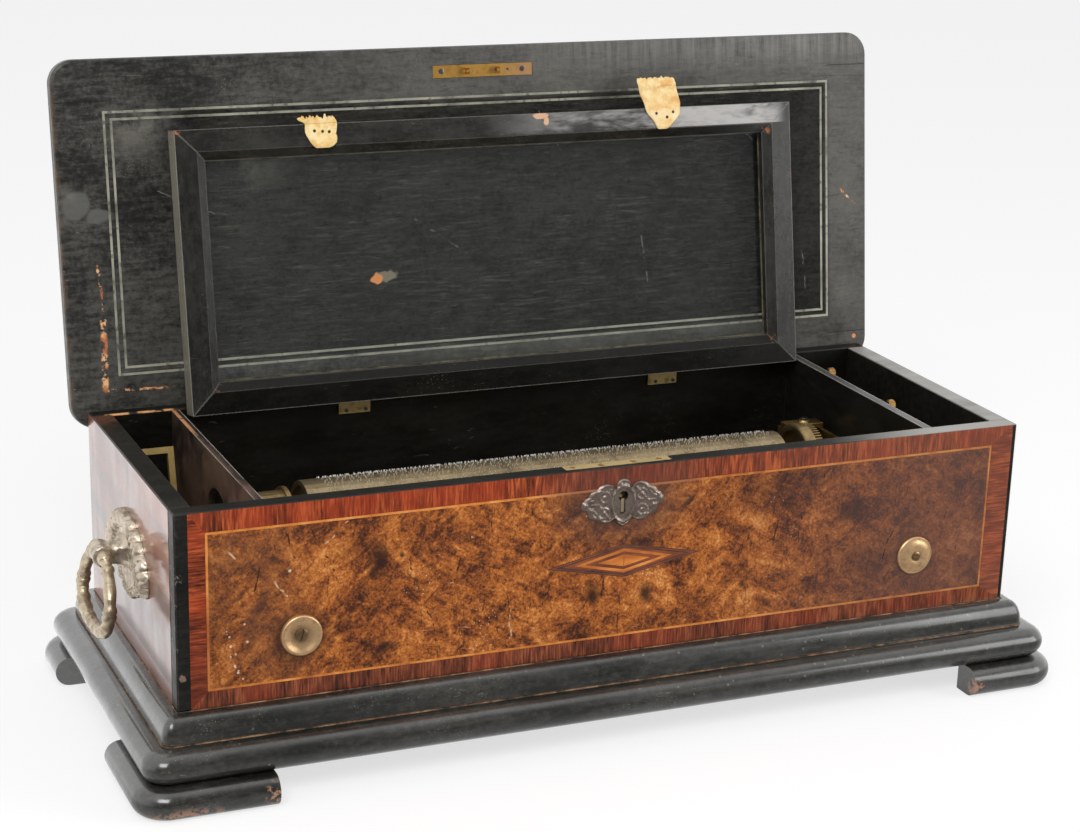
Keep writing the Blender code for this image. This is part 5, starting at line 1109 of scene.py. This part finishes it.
def lid_marks(m):
    across, v = m.dot(X), m.rise(lid_inside)
    inner = m.under(m.rise(lid_height), 0.6 * mm, 1 * mm)
    middle = m.times(m.within(across, -0.285, 0.285, 0.004), m.within(v, 0.024, 0.206, 0.003))
    # Painted sheen: lighter grey towards the right, less so in the middle of the panel
    m.over((112, 110, 103), m.step(across, -0.25, 0.1), m.blots(0.26, 0.62, 9, 5, 0.7),
           m.math('SUBTRACT', 1, m.times(middle, 0.85)), 0.5, inner)
    window = m.times(m.within(across, -0.232, 0.228, 0.01), m.within(v, 0.012, 0.212, 0.01))
    # Painted shade: the middle of the panel, where it is seen through the glass and towards the right, made
    # near black and less shiny
    shade_behind_glass = m.times(m.most(window, m.step(across, -0.1, 0.25)), middle, 0.66)
    m.over((20, 20, 18), shade_behind_glass, inner)
    fibres = m.noise(420, 5, 0.85, 0.4, stretch=(0.09, 1, 1))
    m.over((124, 120, 110), m.step(fibres, 0.5, 0.7), m.blots(0.36, 0.62, 16, 5, 0.8), window, inner, 0.42)
    m.over((16, 16, 15), m.under(fibres, 0.36, 0.44), inner, 0.5)
    # Painted sheen: the top band lighter grey, with fine streaks, towards the right
    m.over((146, 145, 141), m.step(v, 0.212, 0.238), m.step(across, -0.05, 0.2),
           m.blots(0.25, 0.75, 230, 4, 0.75, 0.2, stretch=(1, 0.05, 0.05)), 0.6, inner)
    patch = m.sway(45, 0.014)
    smear = m.most(m.spot(lid_inside(-309, 143), 10, 0.3, (0.9, 1, 1), patch),
                   m.spot(lid_inside(-293, 134), 8, 0.3, (0.7, 1, 1.3), patch))
    m.over((98, 98, 94), smear, inner, 0.75)
    soft = m.most(m.spot(lid_inside(-200, 170), 46, 0.9, (0.7, 1, 1.4)),
                  m.spot(lid_inside(-262, 196), 34, 0.9), m.spot(lid_inside(-316, 148), 12, 0.8))
    m.over((128, 124, 114), soft, m.blots(0.4, 0.66, 34, 4, 0.7), 0.5, inner)
    wander = m.sway(200, 0.003)
    worn = m.most(m.lines(lid_inside, lid_wear, 1.2, wander),
                  m.lines(lid_inside, ((-294.2, 62, -295.6, 14),), 3, wander))
    peach = m.mix(m.blots(0.4, 0.6, 120, 2), (186, 108, 64), (240, 186, 132))
    m.over(peach, worn, m.blots(0.46, 0.54, 190, 3, 0.7), inner)
    m.over((150, 147, 138), m.lines(lid_inside, lid_scratches, 0.55, wander),
           m.blots(0.44, 0.54, 120, 2), inner, 0.6)
    bent = m.sway(220, 0.006)
    m.over((134, 124, 108), m.spot(lid_inside(-84, 79.5), 5.6, 0.3, (0.55, 1, 1.3), bent), inner)
    bare = m.most(m.spot(lid_inside(-91, 77.5), 4.6, 0.3, (0.9, 1, 1), bent),
                  m.spot(lid_inside(309.4, 4.4), 2.2, 0.4))
    m.over((226, 146, 88), bare, inner)
    m.over((112, 80, 54), m.under(across, -0.3195, -0.3165), m.blots(0.42, 0.55, 60, 4, 0.7), 0.3)
    joints = m.lines(lid_inside, ((286, 218.6, 320.5, 218.6), (-320.5, 214, -288, 214),
                                  (286, 8.8, 320.5, 8.8)), 0.5)
    m.over((22, 21, 19), joints, inner, 0.9)
    m.set("Specular IOR Level", m.math('SUBTRACT', 0.38, m.times(shade_behind_glass, inner, 0.45)))
    lid_top(m)


def lid_top(m):
    """The veneered outside of the lid: burl in boxwood lines, crossbanded. The photo hides it."""
    across, v = m.dot(X), m.rise(lid_inside)
    outside = m.step(m.rise(lid_height), 13.9 * mm, 13.97 * mm)
    below = m.col
    walnut(m)
    figure, m.col = m.col, below
    short = m.most(m.step(across, 0.298, 0.2995), m.under(across, -0.2995, -0.298))
    fine = m.mix(short, *[m.noise(760, 3, 0.6, stretch=grain("X", *run)) for run in ((1, 0.08), (0.08, 1))])
    banding = m.ramp(fine, (0.36, (84, 34, 18)), (0.5, (134, 58, 30)), (0.64, (180, 90, 50)))
    line = m.ramp(m.noise(60, 3), (0.35, (150, 90, 44)), (0.65, (206, 134, 74)))
    for shade, half, low, high in ((banding, 312, 3, 235), (line, 299, 16, 222),
                                   (figure, 297.4, 17.6, 220.4)):
        m.over(shade, m.within(across, -half * mm, half * mm), m.within(v, low * mm, high * mm), outside)


def lid_inlay():
    give(ebonised("ebonised_lid", black=28, grey=84, rough=0.4, dust=1, wear=0.5, spec=0.38,
                  extra=lid_marks), "lid_panel")
    m = Mat("lid_stringing", rough=0.42)
    m.col = m.ramp(m.noise(26, 4, 0.7), (0.32, (92, 90, 78)), (0.48, (150, 148, 132)),
                   (0.68, (184, 180, 160)))
    m.over((58, 56, 50), m.blots(0.56, 0.66, 210, 3), 0.6)
    width = 1.7
    outlines = []
    for box in ((-285.8, 22.2, 285.8, 207.2), (-280.8, 27.2, 280.8, 202.2)):
        outlines += strips(lid_inside, box, inset(box, width))
    slabs("lid_stringing", m.made(), "lid", "ebonised", outlines, on_lid(0, 0, -0.12) - on_lid(0, 0, 0))


# Glass lid
def glass_marks(m):
    across = m.dot(X)
    # Painted glare: a pale patch on the right part of the front rail
    m.over((196, 193, 190), m.step(across, -0.02, 0.11), m.under(across, 0.222, 0.236),
           m.within(m.rise(glass_frame), 184.4 * mm, 199 * mm),
           m.blots(0.3, 0.55, 60, 4, 0.7, 0.2, stretch=(0.25, 1, 1)), 0.8)
    wander = m.sway(260, 0.003)
    m.over((222, 176, 142), m.most(m.spot(glass_frame(32.3, 197.4), 4.2, 0.3, (0.6, 1, 1.6), wander),
                                   m.spot(glass_frame(36.6, 193.2), 2.4, 0.3, (1, 1, 0.6), wander)))
    # A pale strip along the outer left edge of the left stile: wear, and a painted highlight
    m.over((152, 147, 132), m.under(across, -0.2424, -0.242), m.blots(0.22, 0.42, 26, 4, 0.7), 0.85)
    corner = m.most(*[m.spot(glass_frame(x, v), 5, 0.6) for x, v in
                      ((-222, 20), (218, 20), (218, 178), (-242, 196))])
    m.over((200, 122, 66), corner, m.blots(0.5, 0.56, 160, 4, 0.7), 0.9)


def glass_nodes():
    members = (("front_rail", "X", 26, 52, 0.7), ("rear_rail", "X", 10, 24, 0.2),
               ("left_stile", "Z", 24, 50, 0.6), ("right_stile", "Z", 26, 54, 0.7))
    for name, axis, black, grey, spec in members:
        # line sets the strength of the painted highlight along the arrises
        made = ebonised(f"ebonised_{name}", axis, black=black, grey=grey, rough=0.26, wear=0.55, dust=0.7,
                        spec=spec, line=0.75, extra=glass_marks)
        give(made, "glass_frame_" + name)
    m = Mat("window_glass", rough=0)
    m.set("Transmission Weight", 1)
    m.set("IOR", 1.28)
    m.col = (0.92, 0.94, 0.93)
    give(m.made(), "glass_pane")
    glazing("dust", ((0.38, (44, 42, 34)), (0.62, (122, 116, 86))), 110, 0.8,
            ((-220.2, 22, 216.2, 22.8), (215.5, 22, 216.3, 177), (-220.3, 176.4, 216.2, 177)))
    # Painted highlight: a bright line along the inner edge of the frame, at the left and the top
    glazing("rim", ((0.34, (88, 88, 84)), (0.6, (168, 170, 168))), 40, 0.4,
            ((-221.6, 22, -220.2, 177), (-220.2, 177, 60, 177.7), (60, 177, 216, 177.9)))


def glazing(name, stops, scale, rough, boxes):
    """Thin lines round the pane."""
    made = mottled("glazing_" + name, stops, scale, 4, 0.7, rough=rough)
    outlines = [[on_glass(x, v, 10.2) for x, v in corners(*box)] for box in boxes]
    thick = on_glass(0, 0, 5.2) - on_glass(0, 0, 4.7)
    slabs("glazing_" + name, made, "glass_lid", "ebonised", outlines, thick, smooth=False)


# Leather tabs: rows of (place up the glass lid, left side, right side)
rail_edge = 199.2
left_tab = ((182.2, -140.6, -130.8), (183.2, -142.2, -128), (185.8, -144.4, -125.4), (188.2, -145.9, -125),
            (190.3, -147, -125.1), (191.8, -147.7, -125.9), (193.2, -148.2, -125.4), (196, -148.4, -124.8),
            (rail_edge, -148.2, -124.6))
left_tab_free = (left_tab[-1], (200.4, -149.6, -124.8), (201.6, -152.4, -125.4), (203, -154, -126.4),
                 (204, -152.2, -127.6))
right_tab = ((183.4, 127.2, 133.6), (184.2, 126, 135.2), (185.6, 125.3, 137), (188, 124, 139.6),
             (190.5, 122.6, 142.2), (193.3, 120, 144.6), (196.2, 117.8, 145), (rail_edge, 116.7, 145.3))
right_tab_free = (right_tab[-1], (202.6, 116, 145.5), (205.4, 114.9, 144.9), (208.2, 113.6, 144.2),
                  (213.9, 112.2, 142.9), (218.5, 111.3, 142.2), (221.4, 111.8, 141.4))


def side_at(rows, v):
    for (v0, a0, b0), (v1, a1, b1) in zip(rows, rows[1:]):
        if v <= v1:
            f = (v - v0) / (v1 - v0)
            return a0 + (a1 - a0) * f, b0 + (b1 - b0) * f
    return rows[-1][1:]


def leather(name, rows, thick, lift, ragged, material):
    """A strap with uneven edges: rows give its two sides, lift(x, v) how far it stands off the rail."""
    bm = bmesh.new()
    wide, long = 34, 26
    low, high = rows[0][0], rows[-1][0]
    layers = []
    for layer in (0, 1):
        grid = []
        for j in range(long + 1):
            v = low + (high - low) * j / long
            a, b = side_at(rows, v)
            line = []
            for i in range(wide + 1):
                x = a + (b - a) * i / wide
                torn = ragged * (j / long) ** 6 * (1.3 * noise.noise(Vector((x * 0.55, 1, 0)))
                                                   + 0.8 * noise.noise(Vector((x * 1.9, 7, 0))))
                rim = min(i, wide - i, j, 2) / 2
                off = lift(x, v) + (thick * (0.55 + 0.45 * rim) if layer else 0)
                line.append(bm.verts.new(on_glass(x, v + torn, -off)))
            grid.append(line)
        layers.append(grid)
        for r0, r1 in zip(grid, grid[1:]):
            for i in range(wide):
                bm.faces.new((r0[i], r0[i + 1], r1[i + 1], r1[i]))
    inner, outer = (grid[0][:-1] + [r[-1] for r in grid][:-1] + grid[-1][:0:-1] + [r[0] for r in grid][:0:-1]
                    for grid in layers)
    for i in range(len(inner)):
        j = (i + 1) % len(inner)
        bm.faces.new((inner[i], inner[j], outer[j], outer[i]))
    return finish_mesh(name, bm, material, "glass_lid", "leather", angle=55)


def tab_leather(name, pale, deep, crease):
    m = Mat(name, rough=0.75, spec=0.25)
    m.col = m.ramp(m.noise(90, 4, 0.65, 0.3), (0.34, deep), (0.52, pale), (0.7, (250, 234, 200)))
    m.over((214, 156, 84), m.lines(glass_frame, crease, 1.3, m.sway(150, 0.004)), 0.6)
    m.over(deep, m.blots(0.58, 0.7, 260, 3, 0.6), 0.35)
    m.bump(m.noise(190, 5, 0.65), 0.35, 0.0006)
    return m.made()


def flat_lift(x, v):
    return 0.35 + 0.25 * (1 + noise.noise(Vector((x * 0.16, v * 0.16, 0)))) * 0.5


def left_lift(x, v):
    run = v - rail_edge
    return flat_lift(x, v) + 0.1 * run + 0.5 * sin((x + 148) * 0.5) * run / 5


def right_lift(x, v):
    run = v - rail_edge
    return flat_lift(x, v) - 0.1 * run + 0.035 * run * sin((x - 111) * 0.22) + ridge(run - 17, 2.4)


def tabs():
    up = tuple((on_glass(0, 10, 0) - on_glass(0, 0, 0)).normalized())
    left = tab_leather("leather_left", (248, 222, 162), (232, 182, 104),
                       ((-147, 188.6, -126, 189), (-146, 201.8, -130, 202)))
    right = tab_leather("leather_right", (246, 216, 156), (230, 178, 112),
                        ((130, 199.4, 145, 199.8), (113, 216, 142, 214.8), (124, 186.8, 138, 187)))
    straps = (("left", left_tab, left_tab_free, left_lift, left, 2.6),
              ("right", right_tab, right_tab_free, right_lift, right, 1.5))
    for side, fixed, free, lift, made, ragged in straps:
        piece = leather(f"leather_tab_{side}", fixed, 1.15, flat_lift, 0, made)
        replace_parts(piece, f"glass_lid_tab_{side}")
        loose = leather(f"leather_tab_{side}_free", free, 1.1, lift, ragged, made)
        tuple(on_glass(0, rail_edge, 0))
        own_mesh(loose)
    iron = mottled("tack_iron", ((0.4, (58, 44, 34)), (0.65, (120, 96, 74))), 400, 2, rough=0.45, metal=1)
    bm = bmesh.new()
    away = on_glass(0, 0, -1) - on_glass(0, 0, 0)
    for x, v in ((-141.7, 194.3), (-135.8, 193.7), (-130.8, 193.3), (125.3, 195.1), (134, 192.1),
                 (139.1, 195.7)):
        lathe(bm, [(1.2, 0), (1.05, 0.25), (0.6, 0.45), (0.1, 0.5)], on_glass(x, v, -1.5), away, 14)
    finish_mesh("tab_tacks", bm, iron, "glass_lid", "steel")


# Washers, screws and the pins of the cylinder
def washers():
    def dished(m):
        middles = [m.spot(in_case(washer_places[side], -116, washer_z), radius, 0.8)
                   for side, radius in (("left", 11.5), ("right", 6))]
        m.over((92, 70, 50), m.most(*middles), 0.52)

    ring = brass("washer_brass", (244, 202, 152), (170, 126, 84), 0.36, scale=110, pits=0.5, metal=0.8,
                 extra=dished)
    head = brass("washer_screw_brass", (176, 146, 110), (96, 72, 50), amount=0.6, scale=200)
    for side, lift, radius, slot_turn, profile in (
            ("left", 1, 4.4, 0.5, ((3.4, 0.3), (3.4, 0.9), (5.2, 0.8), (7.6, 1.1), (9.6, 1.8), (11.4, 2.8),
                                   (12.8, 3.3), (13.6, 2.9), (14, 2), (14, 0.3))),
            ("right", 2.5, 3.4, 2, ((3, 0.3), (3, 2.7), (4.8, 3.4), (8.2, 3.3), (11, 2.5), (12.6, 1.6),
                                    (13.3, 1.8), (14, 1.2), (14, 0.3)))):
        x = washer_places[side]
        bm = bmesh.new()
        lathe(bm, profile, front(x, washer_z), outward, 56, closed=True)
        ob = finish_mesh(f"bedplate_washer_{side}_turned", bm, ring, "case", "brass", angle=50)
        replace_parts(ob, f"bedplate_washer_{side}")
        bm = bmesh.new()
        screw(bm, in_case(x, front_y - lift, washer_z), outward, radius, 1.4, slot_turn, 16)
        lathe(bm, [(2.2, -2), (2.2, lift + 0.4)], front(x, washer_z), outward, 14)
        finish_mesh(f"bedplate_screw_{side}", bm, head, "case", "steel", angle=40)


def screws():
    brass_screw = brass("screw_brass", (214, 176, 112), (120, 88, 48), amount=0.6, scale=200)
    steel = brass("screw_blued", (120, 118, 122), (60, 56, 58), 0.32, 0.6, scale=200)
    inward = on_lid(0, 0, -1) - on_lid(0, 0, 0)
    keep_v, lid_leaf_v, sunk = 225.3, 8.6, 0.35
    selvedge_y, leaf_y, rim_z = -106, 110.4, 133.65
    keep_set, lid_set, case_set, movement_set = (bmesh.new() for i in range(4))
    for x, turn in ((-34.6, 0.4), (29, 2.2)):
        screw(keep_set, on_lid(x, keep_v, sunk), inward, 2, 0.4, turn)
        screw(case_set, in_case(x, selvedge_y, rim_z), Z, 2, 0.25, turn + 1)
    for x, radius in ((-10.7, 1.3), (7.8, 1.1), (17.5, 0.9)):
        screw(keep_set, on_lid(x, keep_v, sunk), inward, radius, 0.4, x)
    for middle in (-210, 210):
        for k, dx in enumerate((-17, 0, 17)):
            screw(lid_set, on_lid(middle + dx, lid_leaf_v, sunk), inward, 2.1, 0.28, k * 1.1)
            screw(case_set, in_case(middle + dx, leaf_y, rim_z), Z, 2.1, 0.2, k * 1.7)
    comb_screws, first_x, spacing, comb_y, comb_z = 9, -168, 40, -0.0872, 0.1465
    for k in range(comb_screws):
        place = Vector(((first_x + spacing * k) * mm, comb_y, comb_z))
        screw(movement_set, place, Z, 3.3, 1.7, k * 0.8, 12)
    cock_place, hinge_y, hinge_z = (0.221, 0.02739, 0.1636), 0.0909, 0.1843
    screw(movement_set, Vector(cock_place), Z, 3, 1.1, 0.7, 12)
    for middle in (-117, 132):
        for dx in (-7.4, 7.4):
            screw(movement_set, Vector(((middle + dx) * mm, hinge_y, hinge_z)), outward, 1.6, 0.3, dx)
    for name, made, material, body, slot in (("keep_plate", keep_set, steel, "lid", "steel"),
                                             ("lid", lid_set, brass_screw, "lid", "brass"),
                                             ("case", case_set, brass_screw, "case", "brass"),
                                             ("movement", movement_set, steel, "case", "steel")):
        finish_mesh(name + "_screws", made, material, body, slot, angle=40)


def cylinder_pins():
    low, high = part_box("music_cylinder")
    axis_y, axis_z = (low.y + high.y) / 2, (low.z + high.z) / 2
    radius = (high.y - low.y) / 2
    first_x, pitch, rows, places, share_left_out = -178, 4, 86, 84, 0.12
    to_edge = 0.4 * mm
    steel = mottled("pin_steel", ((0.3, (206, 204, 198)), (0.7, (250, 249, 246))), 300, 2,
                    rough=0.35, metal=0.6)
    bm = bmesh.new()
    rnd = random.Random(11)
    for i in range(rows):
        for k in range(places):
            if rnd.random() < share_left_out:
                continue
            a = 2 * pi * (k + rnd.random() * 0.9) / places
            x = (first_x + pitch * i + rnd.choice((-0.9, 0, 0.9, 1.6))) * mm
            out, side = Vector((0, cos(a), sin(a))), Vector((0, -sin(a), cos(a)))
            root = Vector((x, axis_y, axis_z)) + out * (radius - 0.35 * mm)
            spokes = [Vector((to_edge, 0, 0))]
            spokes += [Vector((-to_edge / 2, 0, 0)) + side * to_edge * turn for turn in (0.87, -0.87)]
            skin(bm, [[root + s for s in spokes], [root + s * 0.6 + out * 1.5 * mm for s in spokes]])
    finish_mesh("cylinder_pins", bm, steel, "cylinder", "steel", smooth=False)


camera()
surroundings()
wooden_nodes()
metal_nodes()
glass_nodes()
front_veneers()
end_veneers()
plinth()
escutcheon()
handles()
lid_inlay()
tabs()
washers()
screws()
cylinder_pins()
